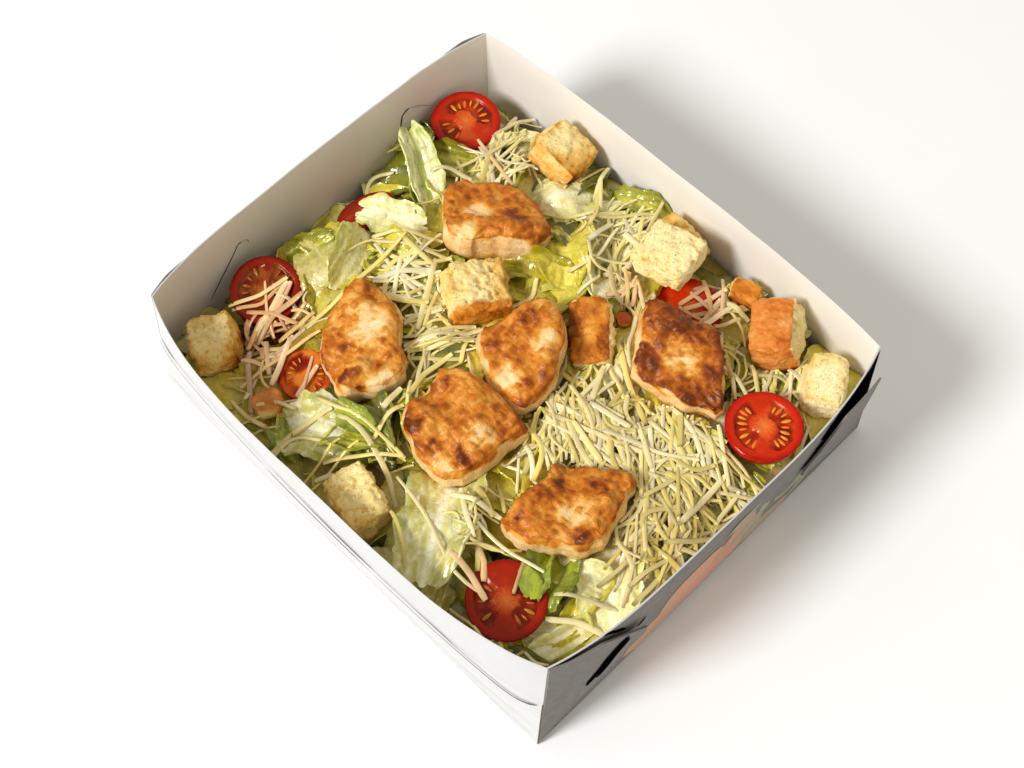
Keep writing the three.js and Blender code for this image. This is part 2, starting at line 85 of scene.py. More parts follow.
# Lines of painted shade on the walls, in the slits, under the seam, along folds and in the gaps by the
# flaps: side, inside or out, distance off the board, width in mm, screen colour, and the points, each a
# percentage of the wall's length and a height in mm, and where given a distance of its own.
WALL_SHADE_LINES = (
    (FAR_LEFT, True, 0.1, 0.6, (54, 42, 30),
     ((74.2, 46), (75.4, 46.6), (78.2, 41.3), (81.7, 35.5), (85.6, 28.7))),
    (FAR_LEFT, True, 0.1, 0.4, (158, 146, 128), ((74.2, 46), (73.3, 45.6), (72.8, 44.4), (72.5, 42.3))),
    (FAR_LEFT, True, 0.1, 0.8, (40, 32, 24),
     ((23.1, 47.8), (24.4, 47.4), (25.5, 46.3), (26.6, 39.6), (26.8, 35))),
    (FAR_LEFT, True, 0.1, 0.4, (172, 162, 146), ((23.1, 47.8), (20.1, 45), (16.9, 41))),
    (NEAR_LEFT, False, 0.75, 0.9, (84, 84, 88),
     ((0.5, 35), (5, 35), (15, 41), (25, 42.5), (32, 42), (36, 39))),
    (NEAR_LEFT, False, 0.75, 1.5, (14, 14, 16), ((36, 39), (40, 37.4), (46, 36), (54, 35.4), (63, 35.4))),
    (NEAR_LEFT, False, 0.75, 0.9, (84, 84, 88),
     ((63, 35.4), (70, 36), (80, 35), (87, 32.5), (92, 29.8), (95, 29.2), (97.5, 31), (99.4, 34))),
    (NEAR_LEFT, False, 0.12, 0.7, (206, 206, 210),
     ((1, 9), (7, 10.5), (15, 9.5), (25, 7), (40, 6), (60, 5.4), (80, 5), (99, 5))),
    (NEAR_LEFT, False, 0.12, 0.5, (216, 216, 220), ((2, 19), (20, 20), (45, 16), (75, 14), (99, 14))),
    (NEAR_RIGHT, False, 0.1, 3.6, (6, 5, 4),
     ((10.4, 26.8, 1.6), (11.8, 31.4, 1.75), (13.2, 35.5, 1.95), (14.5, 41.3, 2.1), (16.1, 45.6, 2.35),
      (18.4, 50.8, 2.7))),
    (NEAR_RIGHT, False, 0.1, 3.4, (6, 5, 4),
     ((12.6, 28.6, 1.9), (13.2, 29.9, 1.95), (14.7, 34, 2.15), (16, 39.8, 2.35), (17.6, 44.1, 2.55),
      (18.9, 48.1, 2.75))),
    (NEAR_RIGHT, False, 0.1, 1.6, (12, 11, 10), ((23.4, 39.6), (24.2, 41.2), (25.4, 43.6))),
    (NEAR_RIGHT, False, 0.1, 1.9, (10, 9, 8), ((12.6, 61.6), (14, 60.6), (16.2, 56.6), (19, 51.2))),
    (NEAR_RIGHT, False, 0.1, 1.0, (30, 28, 26), ((0.6, 60.8), (5, 61), (11, 61.2))),
    (NEAR_RIGHT, False, 0.1, 2.2, (16, 14, 12), ((76.4, 45), (79, 41), (83, 34), (88.8, 22.5))),
)
# Print on the near right wall, generic shapes: middle [along, up], size, seed or turn, screen colour.
PRINT_BLOBS = (
    ((54, 14), (24, 24), 3, (196, 146, 116)), ((72, 24), (36, 40), 4, (206, 150, 118)),
    ((96, 26), (28, 36), 5, (192, 142, 112)), ((84, 14), (40, 24), 6, (204, 150, 120)),
    ((60, 12), (26, 20), 7, (198, 148, 118)), ((117, 10), (26, 18), 8, (180, 146, 116)),
)
PRINT_LEAVES = (
    ((104, 30), (24, 9), 30, (154, 156, 128)), ((118, 40), (24, 10), 14, (160, 162, 134)),
    ((127, 27), (22, 10), -28, (148, 150, 120)), ((112, 18), (20, 8), 8, (158, 160, 130)),
    ((136, 17), (18, 8), 52, (150, 152, 124)), ((96, 46), (18, 6), 6, (158, 158, 138)),
)
# The throat behind the sprung flap, painted near black as its shadow: percentages of the wall's length and
# heights.
SHADOWED_THROAT = ((99.4, 61), (99.4, 30), (92, 24), (84, 32), (77.4, 50), (79, 56), (84, 60.8), (92, 61.2))
THROAT_SHADOW_COLOUR = (16, 14, 12)

# ---- the toppings, as the frame has them ----
CHICKEN_AT = ((-43, 31, 47), (-36, -38, 46), (12, -39, 48), (9, 1, 49), (50, 36, 48), (63, -33, 48))
# Patches on each chunk's top, from its centre: [x, y, radius, how much browner].
CHICKEN_PATCHES = (
    ((-4, -1, 4.6, -0.5), (1, -15, 7, -0.45), (9, -6, 3.4, -0.3), (-8, -10, 3.4, 0.3), (10, 7, 4.2, 0.25),
     (21, 6, 3, 0.3), (-14, 3, 3, 0.2)),
    ((-3, 3, 8.4, -0.5), (19, -9, 6, -0.5), (1, -8, 3.4, -0.2), (7, -16, 3.6, 0.5), (-13, 13, 3.6, 0.4),
     (13, -5, 3.8, 0.35), (-5, -10, 4.2, 0.2)),
    ((11, 3, 5, -0.4), (7, -14, 6, -0.2), (-9, -12, 5, 0.5), (-11, 8, 3, 0.45), (12, -8, 3.6, 0.45),
     (2, -11, 3.6, 0.45), (8, 15, 2.4, 0.3), (-4, 9, 3, 0.2)),
    ((4, 5, 5, -0.45), (3, -14, 5, -0.45), (-9, -9, 4, 0.35), (-8, 7, 5, 0.25), (10, -12, 3, 0.3),
     (12, -5, 3.4, 0.2)),
    ((1, -1, 8, -0.72), (-16, -3, 4.6, -0.4), (10, -8, 4.6, 0.3), (-9, 4, 3, 0.25), (12, 2, 3.6, 0.2),
     (-2, 12, 4, 0.15)),
    ((4, -1, 6.5, -0.5), (-9, 4, 3.6, 0.5), (2, 11, 3.2, 0.45), (12, -7, 4, 0.5), (12, 9, 3.2, 0.45),
     (-9, -16, 2.6, 0.35), (-9, -6, 4.2, 0.2), (4, 17, 4, 0.2)),
)
CHICKEN_BROWNER = (0.08, 0.03, 0.02, 0.02, 0.36, 0.1)
# Notches in each chunk: [x, y, radius, depth].
CHICKEN_NOTCHES = (
    ((8, -14, 4, 2.4), (-16, 10, 5, 1.6)), ((12, 12, 4, 2), (15, -17, 4, 2)),
    ((-14, 2, 5, 1.8), (13, 8, 4, 1.6)), ((-10, 0, 4, 1.6), (12, 3, 4, 2)),
    ((-4, -13, 5, 1.2),), ((9, 16, 4.5, 2.4), (-13, 12, 5, 1.8), (15, -3, 4, 1.4)),
)
# Colours from pale meat to dark sear.
CHICKEN_TONES = (
    (0.0, (250, 218, 166)), (0.2, (243, 200, 134)), (0.33, (232, 172, 88)), (0.43, (218, 146, 54)),
    (0.58, (202, 118, 28)), (0.74, (172, 86, 12)), (0.88, (136, 58, 6)), (1.05, (98, 36, 4)),
)
# Where the sear bumps neither rise nor sink.
BUMPS_MIDDLE = 0.35
# Layers of noise, as `layered` takes them: how much, the lumps' width in mm, octaves and own seed.
CHICKEN_LUMPS = ((1.5, 10, 1, 8), (0.7, 4.5, 1, 9))
# Croutons: centre, turns about X, Y and Z, how toasted the crumb is, and the sides with crust.
CROUTONS = (
    ((-82, -74, 34.5), (6, 8, -28), 0.1, ()),
    ((6.5, -81, 43), (6, 4, -12), 0.34, ()),
    ((-24, 6, 46.5), (8, 8, 60), 0.26, ((0, -1, 0),)),
    ((-48.5, 76.5, 44), (-6, 24, 6), 0.24, ((0, -1, 0),)),
    ((17, 66.5, 53), (2, -4, 10), 0.04, ()),
    ((12, 81, 41.5), (22, 0, -6), 0.7, ()),
    ((66, 72.8, 45), (4, -22, 34), 0.2, ((0, 0, 1), (0, -1, 0), (-1, 0, 0))),
    ((91.4, 70.6, 42), (0, 0, 30), 0.06, ()),
    ((17.8, 24.6, 46), (20, -10, 44), 0.3, ((0, 0, 1), (-1, 0, 0))),
    ((45, 80.5, 41), (10, 0, 20), 0.7, ((0, 0, 1), (0, -1, 0))),
)
# Sides that are toasted more: [way they face in the frame, how much]. On the first crouton the side facing
# (-0.7, -0.7) is darker as painted shade.
CROUTON_TOASTS_AND_SHADE = (
    (((0.7, 0.7, 0), 1.0), ((0.7, -0.7, 0), 0.5), ((-0.7, 0.7, 0), 0.4), ((-0.7, -0.7, 0), 0.25)),
    (((-0.7, -0.7, 0), 0.2), ((0.7, -0.7, 0), 0.25)),
    (((0.7, 0.7, 0), 0.35), ((-0.7, -0.7, 0), 0.1)),
    (((-0.9, -0.3, 0), 0.8), ((0.4, -0.9, 0), 1.0), ((0.8, 0.6, 0), 0.5)),
    (((0, -1, 0), 0.1),),
    (((-0.7, -0.7, 0.3), 0.3),),
    (((0.7, -0.7, 0), 0.15),),
    (((-0.7, 0.7, 0), 0.35), ((-0.7, -0.7, 0), 0.15)),
    (((-0.7, -0.7, 0), 0.5),),
    (((-0.7, -0.7, 0), 0.3),),
)
CROUTON_SHADES = (
    (1, 0.97, 0.84), (0.98, 0.95, 0.8), (1, 0.96, 0.84), (1, 0.98, 0.88), (1, 0.98, 0.85),
    (1, 0.97, 0.9), (0.95, 0.95, 0.88), (0.98, 0.98, 0.92), (1, 1, 0.95), (1, 0.93, 0.86),
)
# Colours from pale to toasted.
CRUMB_TONES = (
    (-0.2, (254, 238, 186)), (0.1, (248, 220, 150)), (0.35, (232, 188, 104)), (0.6, (204, 144, 54)),
    (0.85, (166, 96, 22)), (1.1, (116, 60, 10)),
)
CRUST_TONES = (
    (-0.3, (252, 226, 158)), (0.0, (246, 196, 112)), (0.3, (230, 160, 66)), (0.6, (206, 124, 32)),
    (0.85, (166, 84, 12)), (1.15, (112, 48, 4)),
)
ORANGE_CRUST_TONES = (
    (-0.2, (246, 180, 110)), (0.3, (228, 140, 62)), (0.7, (206, 106, 32)), (1.15, (140, 62, 8)),
)
ORANGE_CRUSTS = (6,)
# How rough the torn faces are: most are well pitted, these ones smoother.
CRUMB_ROUGHNESS = {0: 0.8, 3: 0.45, 4: 0.6, 5: 0.8, 7: 0.4}
# How far a crust reaches round onto the sides next to it.
CRUST_CREEP = {2: 1.7}
# Crusts that are darker or lighter than the others', and how much more towards the bottom.
CRUST_BROWNER = {2: (0.12, 0.85), 3: (-0.9, 1.1), 8: (0.34, 0.05), 9: (0.16, 0.2)}
# Layers of noise: the crust's ragged border, the relief of both faces, and how patchy their toast is.
CRUST_BORDER = ((0.26, 3.2, 1, 12), (0.12, 1.2, 1, 13))
CRUMB_RELIEF = ((0.65, 1.5, 2, 2), (0.95, 3.6, 1, 3))
CRUST_RELIEF = ((0.4, 4.5, 1, 7), (0.18, 1.6, 1, 8))
CRUMB_TOAST = ((0.24, 7, 3, 9), (0.08, 1.5, 1, 14))
CRUST_TOAST = ((0.6, 7, 4, 10),)
# Tomato halves: centre of the cut face, diameter, depth, lean, darkness, and the seed chambers, each
# the direction of its middle, its width in degrees and how many seeds.
TOMATOES = (
    ((-89, 63, 42), 28, 13, (4, 4), 0.45, ((112, 165, 8), (262, 80, 3))),
    ((-85.5, -46, 39), 27.5, 13, (10, 10), 1.35, ((60, 120, 6), (210, 130, 5))),
    ((-48.5, -58.5, 36), 21, 10, (4, 4), 0.25, ((30, 120, 5), (200, 120, 5))),
    ((88, 39, 49), 28, 13, (0, -2), 0.12, ((42, 144, 9), (228, 136, 8))),
    ((69.7, -71, 47), 28, 13, (6, 6), 1.0, ((40, 130, 7), (232, 120, 3))),
    ((33, 61, 38), 26, 12, (12, 8), 0.2, ()),
    ((-88, 7, 36), 25, 12, (0, -30), 1.0, ()),
    ((-49, -77, 37), 11, 6, (10, 0), 0.3, ((0, 120, 2), (180, 120, 2))),
    ((21, 38.5, 44), 7, 5, (10, 10), 0.2, ((0, 120, 2), (180, 120, 2))),
)
# Points of a cut face from its middle outwards, and round it.
TOMATO_RINGS = 36
TOMATO_AROUND = 96
# Colours from the middle of the cut to its edge.
TOMATO_FLESH = (
    (0.0, (242, 132, 62)), (0.2, (228, 92, 32)), (0.36, (208, 56, 10)), (0.7, (200, 46, 6)),
    (0.86, (206, 40, 5)), (0.95, (188, 20, 2)), (1.0, (162, 9, 1)),
)
TOMATO_PALE = (240, 150, 76)
TOMATO_GEL = ((0.0, (124, 14, 1)), (0.5, (158, 32, 3)), (1.0, (206, 78, 12)))
TOMATO_SKIN = (178, 11, 3)
TOMATO_WARMTH = (1.0, 0.86, 0.75)
# Halves whose jelly has spread over the cut face and how much, and the jelly's colours.
TOMATO_JELLY = {1: 0.5, 2: 0.9}
TOMATO_JELLY_TONES = ((0, (128, 28, 6)), (0.45, (190, 84, 20)), (1, (234, 150, 58)))
TOMATO_SKIN_JELLY = (176, 74, 20)
# Scraps of flesh: how orange each is.
SCRAPS = {7: 0.9, 8: 0.35}
SCRAP_RED = ((0, (150, 30, 6)), (1, (214, 84, 34)))
SCRAP_ORANGE = ((0, (176, 88, 24)), (1, (238, 164, 88)))
SCRAP_RIND = (228, 202, 118)

# ---- the heap ----
HEAP = {"half_length": 104, "half_width": 92, "edge": 36, "crown": 7.5, "lowest": 10}
RIPPLE = {"height": 1.3, "along_x": 9.5, "along_y": 8, "diagonal": 6.5}
HOLLOWS = (
    (-96, -66, 26, 17), (-103, -14, 22, 15), (-103, 16, 20, 14), (-92, 86, 22, 16),
    (24, -88, 18, 9), (-28, -92, 16, 8), (98, 58, 14, 8), (-12, 20, 14, 5), (96, 14, 14, 6),
    (-52, -68, 18, 9), (36, 60, 15, 7),
)
# The core: its floor's height, its grid, how far its top lies below the heap's, and its lumps.
CORE = {"floor": BOARD + 0.5, "steps": 30, "rings": 34, "sunk": 4.0, "lumps": 1.6}
CORE_TONES = ((0.1, (84, 74, 12)), (0.5, (140, 124, 34)), (0.9, (196, 178, 90)))
CORE_CHEESE = (226, 202, 124)
WALL_GAP = 2.2
# Lettuce that shows: x, y, lift, length, width, turn, pitch, roll, arch, fold, ruffle, kind.
LEAVES = (
    (-82, 32, 5, 38, 13, 153, 20, 10, 0.1, 0.5, 1.0, "spine"),
    (-90, 38, 3, 22, 12, 100, 34, -30, 0.1, 0.4, 1.0, "white"),
    (-80, 45, 3, 30, 14, 25, 8, 20, 0.3, 0.4, 1.6, "green"),
    (-75, 10, 5, 27, 15, 29, 6, 16, 0.15, 0.25, 1.1, "white"),
    (-71, -12, 5, 33, 20, -62, 12, -30, 0.25, 0.3, 0.8, "fresh"),
    (-73, -27, 4, 34, 21, 78, 10, 18, 0.3, 0.35, 0.6, "fresh"),
    (-89, -20, 4, 22, 13, 62, 32, 10, 0.1, 0.4, 1.0, "green"),
    (-58, -3, 3, 28, 18, 15, 6, 20, 0.3, 0.4, 1.6, "yellow"),
    (-35, 61, 5, 27, 24, 60, 6, 0, 0.5, -0.3, 1.4, "white"),
    (-12, 82, 4, 28, 14, 20, 8, 0, 0.6, 0.4, 1.2, "green"),
    (-15, 46, 3, 34, 20, -50, 8, 14, 0.3, 0.4, 1.6, "yellow"),
    (-17, 28, 2, 36, 22, 30, 6, 20, 0.25, 0.4, 1.4, "olive"),
    (-28, 22, 0, 30, 20, 60, 10, -10, 0.2, 0.4, 1.2, "green"),
    (-25, -73, 4, 32, 24, 22, 12, 12, 0.3, 0.3, 2.0, "wet"),
    (-13, -58, 2, 32, 20, -30, 6, 20, 0.2, 0.3, 1.6, "dark"),
    (-14, -66, 3, 28, 18, 35, 10, -8, 0.2, 0.4, 1.6, "green"),
    (-31, -87, 0, 24, 15, 10, 6, 20, 0.2, 0.4, 1.2, "dark"),
    (32, -66, 4, 52, 27, -58, 12, 10, 0.15, 0.35, 1.8, "wet"),
    (42, -80, 0, 28, 18, -50, -4, 26, 0.2, 0.3, 1.6, "pale"),
    (74, -53, 2, 26, 18, -70, 8, 10, 0.2, 0.5, 1.8, "vivid"),
    (79, -46, 3, 24, 15, 20, 6, 14, 0.2, 0.4, 1.4, "white"),
    (87, -37, 4, 40, 24, -50, 8, 14, 0.2, 0.3, 1.6, "white"),
    (94, -22, 1, 34, 18, -30, 6, 24, 0.3, 0.4, 1.4, "yellow"),
    (94, 21, 2, 18, 12, 35, 16, 10, 0.2, 0.4, 1.2, "green"),
    (24, -86, -2, 22, 14, 10, 0, 12, 0.2, 0.3, 1.0, "green"),
    (90, -62, 0, 36, 20, -20, 4, 18, 0.3, 0.4, 1.4, "pale"),
    (74, -83, 0, 36, 18, -8, 6, 16, 0.3, 0.4, 1.2, "yellow"),
    (-62, -18, 2, 30, 16, 40, 6, -14, 0.3, 0.4, 1.4, "yellow"),
    (-100, -2, 1, 30, 14, 80, 6, 20, 0.3, 0.4, 1.0, "pale"),
    (-60, 72, 2, 26, 16, 20, 6, 0, 0.3, 0.4, 1.2, "white"),
    (91, -66, 4, 38, 9, 74, 4, 12, 0.1, 0.5, 0.9, "white"),
    (97, -50, 4, 34, 8, 82, 6, -8, 0.1, 0.5, 0.8, "white"),
    (84, -70, 3, 30, 8, 58, 4, 14, 0.1, 0.5, 0.8, "white"),
    (88, -50, 3, 30, 9, 96, 4, -10, 0.1, 0.5, 0.8, "yellow"),
    (99, -34, 3, 28, 10, 88, 6, 10, 0.1, 0.4, 1.0, "white"),
    (80, -77, 2, 30, 9, 20, 4, 10, 0.1, 0.5, 0.8, "white"),
    (96, -64, 2, 26, 8, 66, 2, 10, 0.1, 0.5, 0.8, "yellow"),
    (-17, -62, 7, 18, 10, 10, 8, 24, 0.3, 0.5, 1.6, "vivid"),
    (-10, -48, 5, 18, 9, 60, 8, -20, 0.3, 0.5, 1.6, "vivid"),
    (-33, -82, 5, 20, 9, -20, 6, 20, 0.3, 0.5, 1.4, "vivid"),
    (-84, 76, 5, 26, 8, 10, 6, 12, 0.2, 0.5, 0.8, "white"),
    (-70, 66, 6, 30, 8, 60, 6, -12, 0.2, 0.5, 0.8, "white"),
    (71, -57, 5, 18, 11, -60, 8, 20, 0.3, 0.5, 1.6, "vivid"),
    (63, -10, 5, 10, 5, 48, 10, 10, 0.3, 0.5, 0.8, "olive"),
)
# Leaves that lie over a topping: the leaf's place in the list, and the topping.
LEAF_OVER = {3: "tomato_7", 42: "tomato_5"}
LEAF_THICKNESS = 0.55
LEAF_GAP = 0.6
# Points along and across each leaf.
LEAF_GRID = (42, 26)
# Random small leaves between the ones that show.
FILLER = {"pitch": 13.0, "length": (22, 38), "sunk": 1.5, "grid": (18, 12)}
FILLER_KINDS = ("pale", "yellow", "yellow", "white", "green", "dark")
# Each kind's blade and veins.
LEAF_COLOURS = {
    "white": ((238, 226, 160), (254, 250, 222)),
    "wet": ((192, 184, 96), (254, 252, 232)),
    "fresh": ((214, 204, 104), (252, 246, 196)),
    "pale": ((224, 208, 100), (246, 236, 160)),
    "yellow": ((208, 186, 20), (240, 224, 104)),
    "green": ((122, 122, 0), (204, 198, 58)),
    "vivid": ((104, 118, 0), (170, 182, 34)),
    "olive": ((160, 142, 0), (214, 196, 52)),
    "dark": ((70, 74, 0), (138, 138, 18)),
    "spine": ((246, 240, 200), (148, 164, 14)),
}
LEAF_WARMTH = (0.98, 0.97, 0.86)
LEAF_EDGE = (0.86, 0.93, 0.62)
LEAF_PALE = (244, 243, 186)
# Grated cheese, thick and thin: x, y, reach along X, reach along Y, shreds in each square centimetre.
CHEESE_BASE = 0.45
CHEESE = (
    (62, 2, 26, 20, 4.2), (40, -14, 14, 12, 2.4), (86, -10, 16, 22, 3.0), (-2, 58, 14, 12, 1.8),
    (18, 47, 10, 10, 1.4), (-64, 54, 14, 14, 2.0), (-4, 74, 12, 10, 1.4), (-66, -56, 18, 16, 1.1),
    (-50, -6, 14, 16, 1.6), (-26, -16, 12, 14, 2.2), (42, -60, 14, 10, 1.4), (84, -80, 12, 8, 1.0),
    (80, 62, 14, 10, 2.6), (100, 40, 6, 14, 2.6), (6, -58, 12, 10, 1.2), (96, -40, 8, 14, 0.5),
    (-76, -10, 16, 30, -1.2), (-80, 36, 16, 16, -1.4), (-16, 34, 16, 22, -1.2), (-33, 60, 11, 11, -1.8),
    (24, -72, 20, 16, -1.2), (-16, -62, 20, 12, -0.8), (80, -44, 16, 16, -1.6), (92, -60, 16, 18, -1.2),
    (-14, 82, 12, 8, -1.0),
)
# Which way the shreds run: x, y, direction in degrees.
CHEESE_FLOW = (
    (62, 6, -48), (36, -14, -32), (92, -16, -62), (88, 10, 4), (-2, 58, -70), (-60, 54, 100), (-64, -60, 88),
    (-46, -8, 60), (-20, -20, 70), (40, -60, 10), (88, -70, 20), (80, 62, -50),
)
# Where juice stains it pink: x, y, reach.
CHEESE_STAINS = ((-74, -58, 22), (38, 58, 14), (-86, 62, 10), (14, 46, 8))
# Where the shreds are painted darker, the first patch, by the near right wall, as painted shade: x, y,
# reach, how much of red, green and blue is lost.
CHEESE_DIMMED = (
    (94, -16, 26, (0.16, 0.24, 0.4)), (40, -6, 20, (0.06, 0.1, 0.16)),
    (-76, -56, 22, (0.04, 0.12, 0.17)), (10, -66, 26, (0.06, 0.08, 0.16)),
)
# Ivory, straw and glassy shreds, and what a stain leaves of a shred's own colour and adds to it.
CHEESE_TONES = ((254, 246, 208), (242, 224, 126), (224, 200, 92))
CHEESE_PINK = (0.36, (144, 98, 82))
# Where juice has run down to the leaves below, the first patch dark enough to be painted shade as well: x,
# y, reach, how much.
JUICE_AND_SHADE = ((-76, -56, 22, 0.85), (-88, 58, 10, 0.5), (38, 58, 12, 0.5))
JUICE_AND_SHADE_COLOUR = (112, 34, 12)
JUICE_PATCHES = {"much": 0.6, "size": 6}
# Enlarged cuts of the photo in which the shreds were traced: top left pixel, and how much larger.
CUTS = {
    "A": (180, 90, 4.2308), "B": (430, 80, 3.7931), "D": (220, 290, 3.9286),
    "E": (390, 370, 3.7931), "F": (540, 290, 3.9286),
}
# How high the traced shreds are taken to lie.
STRAND_HEIGHT = 47
# Shreds that catch the eye: how pink, then their points. Those are pixels of a cut, or "spots", which are
# pixels of the whole photo with a height each, or millimetres in the frame.
STRANDS = (
    ("A", ((0, 500, 975, 720, 830, 960, 640), (0, 900, 870, 935, 700), (0, 810, 800, 930, 770, 1060, 770),
        (0, 800, 850, 1040, 900), (0, 950, 650, 1070, 740), (0, 1010, 1010, 1080, 720),
        (0.8, 200, 865, 330, 850, 440, 755), (0.9, 330, 960, 400, 860, 460, 770), (1, 262, 1010, 335, 905),
        (0.5, 400, 990, 560, 900))),
    ("B", ((0.6, 175, 190, 250, 300, 330, 430), (0.2, 240, 215, 190, 400), (0, 0, 345, 80, 335, 160, 360),
        (0, 400, 465, 500, 505, 620, 505), (0, 655, 350, 650, 480), (0, 690, 520, 590, 640),
        (0, 715, 550, 620, 700), (0, 735, 580, 800, 640), (0, 620, 690, 760, 690),
        (0.3, 680, 710, 690, 780, 725, 840), (0.3, 735, 710, 750, 800, 745, 900),
        (0.3, 790, 770, 830, 900))),
    ("D", ((0.5, 60, 320, 210, 225, 390, 130), (0.4, 185, 325, 240, 215, 275, 120), (0.6, 100, 180, 95, 400),
        (0.6, 160, 130, 180, 270), (0.2, 120, 400, 210, 395, 300, 440), (0.8, 290, 360, 375, 240),
        (0, 180, 610, 310, 530, 440, 460), (0, 380, 430, 560, 510, 730, 655),
        (0, 470, 500, 560, 560, 660, 720, 690, 820), (0, 400, 665, 560, 645, 720, 655),
        (0, 360, 720, 560, 680), (0, 640, 480, 720, 400), (0, 740, 430, 800, 330, 910, 250),
        (0, 780, 190, 890, 150, 1000, 130), (0, 800, 150, 850, 0), (0, 640, 20, 730, 50, 820, 50),
        (0.2, 20, 350, 90, 440, 170, 500), (0.8, 90, 170, 120, 100, 160, 55), (0.8, 230, 90, 270, 50))),
    ("E", ((0, 230, 480, 420, 560), (0, 330, 440, 390, 560), (0, 410, 400, 440, 540),
        (0, 340, 580, 335, 770), (0.1, 20, 390, 150, 560, 240, 780, 370, 860), (0, 690, 200, 800, 360),
        (0, 850, 30, 740, 130), (0, 960, 230, 970, 420), (0, 1090, 560, 1060, 700, 1010, 830),
        (0, 990, 680, 1100, 760), (0, 620, 860, 740, 870, 860, 910), (0, 590, 940, 710, 940, 830, 1000))),
    ("F", ((0, 285, 230, 240, 330, 200, 440), (0, 310, 200, 340, 330, 410, 520), (0, 190, 450, 350, 550),
        (0, 110, 530, 150, 620, 210, 700), (0, 240, 560, 420, 620), (0, 390, 520, 440, 700),
        (0, 400, 640, 400, 820), (0, 550, 480, 545, 620), (0, 545, 700, 545, 900),
        (0, 550, 920, 640, 810, 730, 715), (0, 700, 770, 860, 780), (0, 470, 800, 540, 930),
        (0, 480, 1000, 600, 980, 720, 940), (0.4, 730, 260, 780, 430), (0, 835, 270, 860, 390),
        (0, 990, 300, 990, 420), (0, 1060, 270, 1030, 370), (0.2, 335, 0, 345, 100, 380, 170),
        (0.1, 290, 20, 350, 160), (0.7, 440, 60, 560, 0), (0.9, 480, 100, 600, 50, 720, 40),
        (0.8, 550, 130, 640, 110, 700, 50), (0.7, 600, 150, 720, 10), (0.4, 620, 130, 800, 20),
        (0.8, 560, 20, 690, 130), (0.5, 690, 110, 790, 90), (0, 740, 20, 830, 80))),
    ("mm", ((0.9, -76, -65, -80, -60, -81, -54), (0.3, -82, -44, -76, -42, -71, -43),
        (0.9, -76, -48, -72, -50, -68, -51), (0.8, -88, -44, -78, -52, -70, -56))),
    ("spots", ((0.9, 672, 298, 40, 698, 290, 40, 720, 284, 40),
        (0.7, 682, 308, 40, 704, 302, 40, 726, 294, 40), (1, 686, 290, 40, 700, 300, 40, 714, 314, 40),
        (0.8, 702, 282, 40, 708, 298, 40, 712, 318, 40), (0.5, 722, 280, 40, 724, 300, 40, 720, 322, 40),
        (0.9, 676, 304, 40, 692, 298, 40, 704, 288, 40))),
    ("mm", ((0.6, 46, -74, 56, -74, 65, -76), (0.6, 50, -65, 55, -67, 60, -72),
        (0.7, 65, -58, 68, -64, 70, -68))),
    ("spots", ((0.2, 226, 294.5, 45, 258, 284, 46, 286, 269, 46),
        (0.2, 243, 332, 44, 268, 300, 45, 285, 272, 46), (0.8, 252, 329, 44, 272, 303, 45, 300, 290, 44))),
    ("mm", ((0.7, -84, -57, -76, -50, -66, -47), (0.9, -70, -62, -64, -66), (0.8, -52, -52, -44, -64))),
)
CHEESE_SIZE = {"width": (1.1, 2.1), "thickness": 0.62, "length": (14, 38), "stations": 11}
CHEESE_FINE = {"width": (0.8, 1.2), "length": (8, 20), "stations": 6}
CHEESE_LOAD = 2.2
CHEESE_FINE_SHARE = 1.1
# Half the field that the shreds fall on, and how much their direction scatters.
CHEESE_FIELD = (102, 87)
CHEESE_SCATTER = 0.62
SHORTEST_SHRED = 7
LINE_POINTS = 13
STRAND_GROWTH = 1.25
# Tomato halves that shreds may lie across.
CHEESE_OVER = (0, 1, 2, 4, 5, 7)

# ---- camera, floor and light ----
FRAME_WIDTH_PX = 1024
FRAME_MIDDLE_PX = (512, 384)
FOCAL_PX = 1495
SENSOR_MM = 36.0
CAMERA = {
    "azimuth": 45.2, "elevation": 60.9, "target": (-6.0, 6.8, 0.0), "distance": 592.0, "clip_start": 0.01,
}
# The floor: half its side and its height in metres, its two tones, and the width of its clouds in mm.
FLOOR = {"half": 2, "z": -0.0003, "light": (252, 252, 252), "dark": (248, 248, 248), "cloud": 60.0}
SKY = {"colour": (1.0, 0.95, 0.86, 1), "strength": 0.56}
KEY_LIGHT = {"place": (-0.5, -2.0, 1.75), "size": 0.8, "power": 70.0, "colour": (0.95, 0.95, 0.96)}


# ---- numbers ----

def linear(rgb):
    """A 0-255 screen colour as linear light."""
    c = np.asarray(rgb, float) / 255
    return np.where(c <= 0.04045, c / 12.92, ((c + 0.055) / 1.055) ** 2.4)


def smoothstep(low, high, value):
    t = np.clip((value - low) / (high - low), 0, 1)
    return t * t * (3 - 2 * t)


def hill(x, y, at_x, at_y, reach):
    """1 at one spot, falling off smoothly over `reach` mm."""
    return np.exp(-((x - at_x) ** 2 + (y - at_y) ** 2) / reach ** 2)


HASH_FACTORS = (374761393, 668265263, 1440662683, 974634777)
HASH_MIX = 1274126177
HASH_BITS = 0xFFFFFFFF


def lattice(x, y, z, seed):
    """A fixed number from -1 to 1 for each cell corner."""
    a, b, c, d = HASH_FACTORS
    mixed = (x * a + y * b + z * c + seed * d) & HASH_BITS
    mixed = ((mixed ^ (mixed >> 13)) * HASH_MIX) & HASH_BITS
    return ((mixed ^ (mixed >> 16)) & 0xFFFF) / 32767.5 - 1


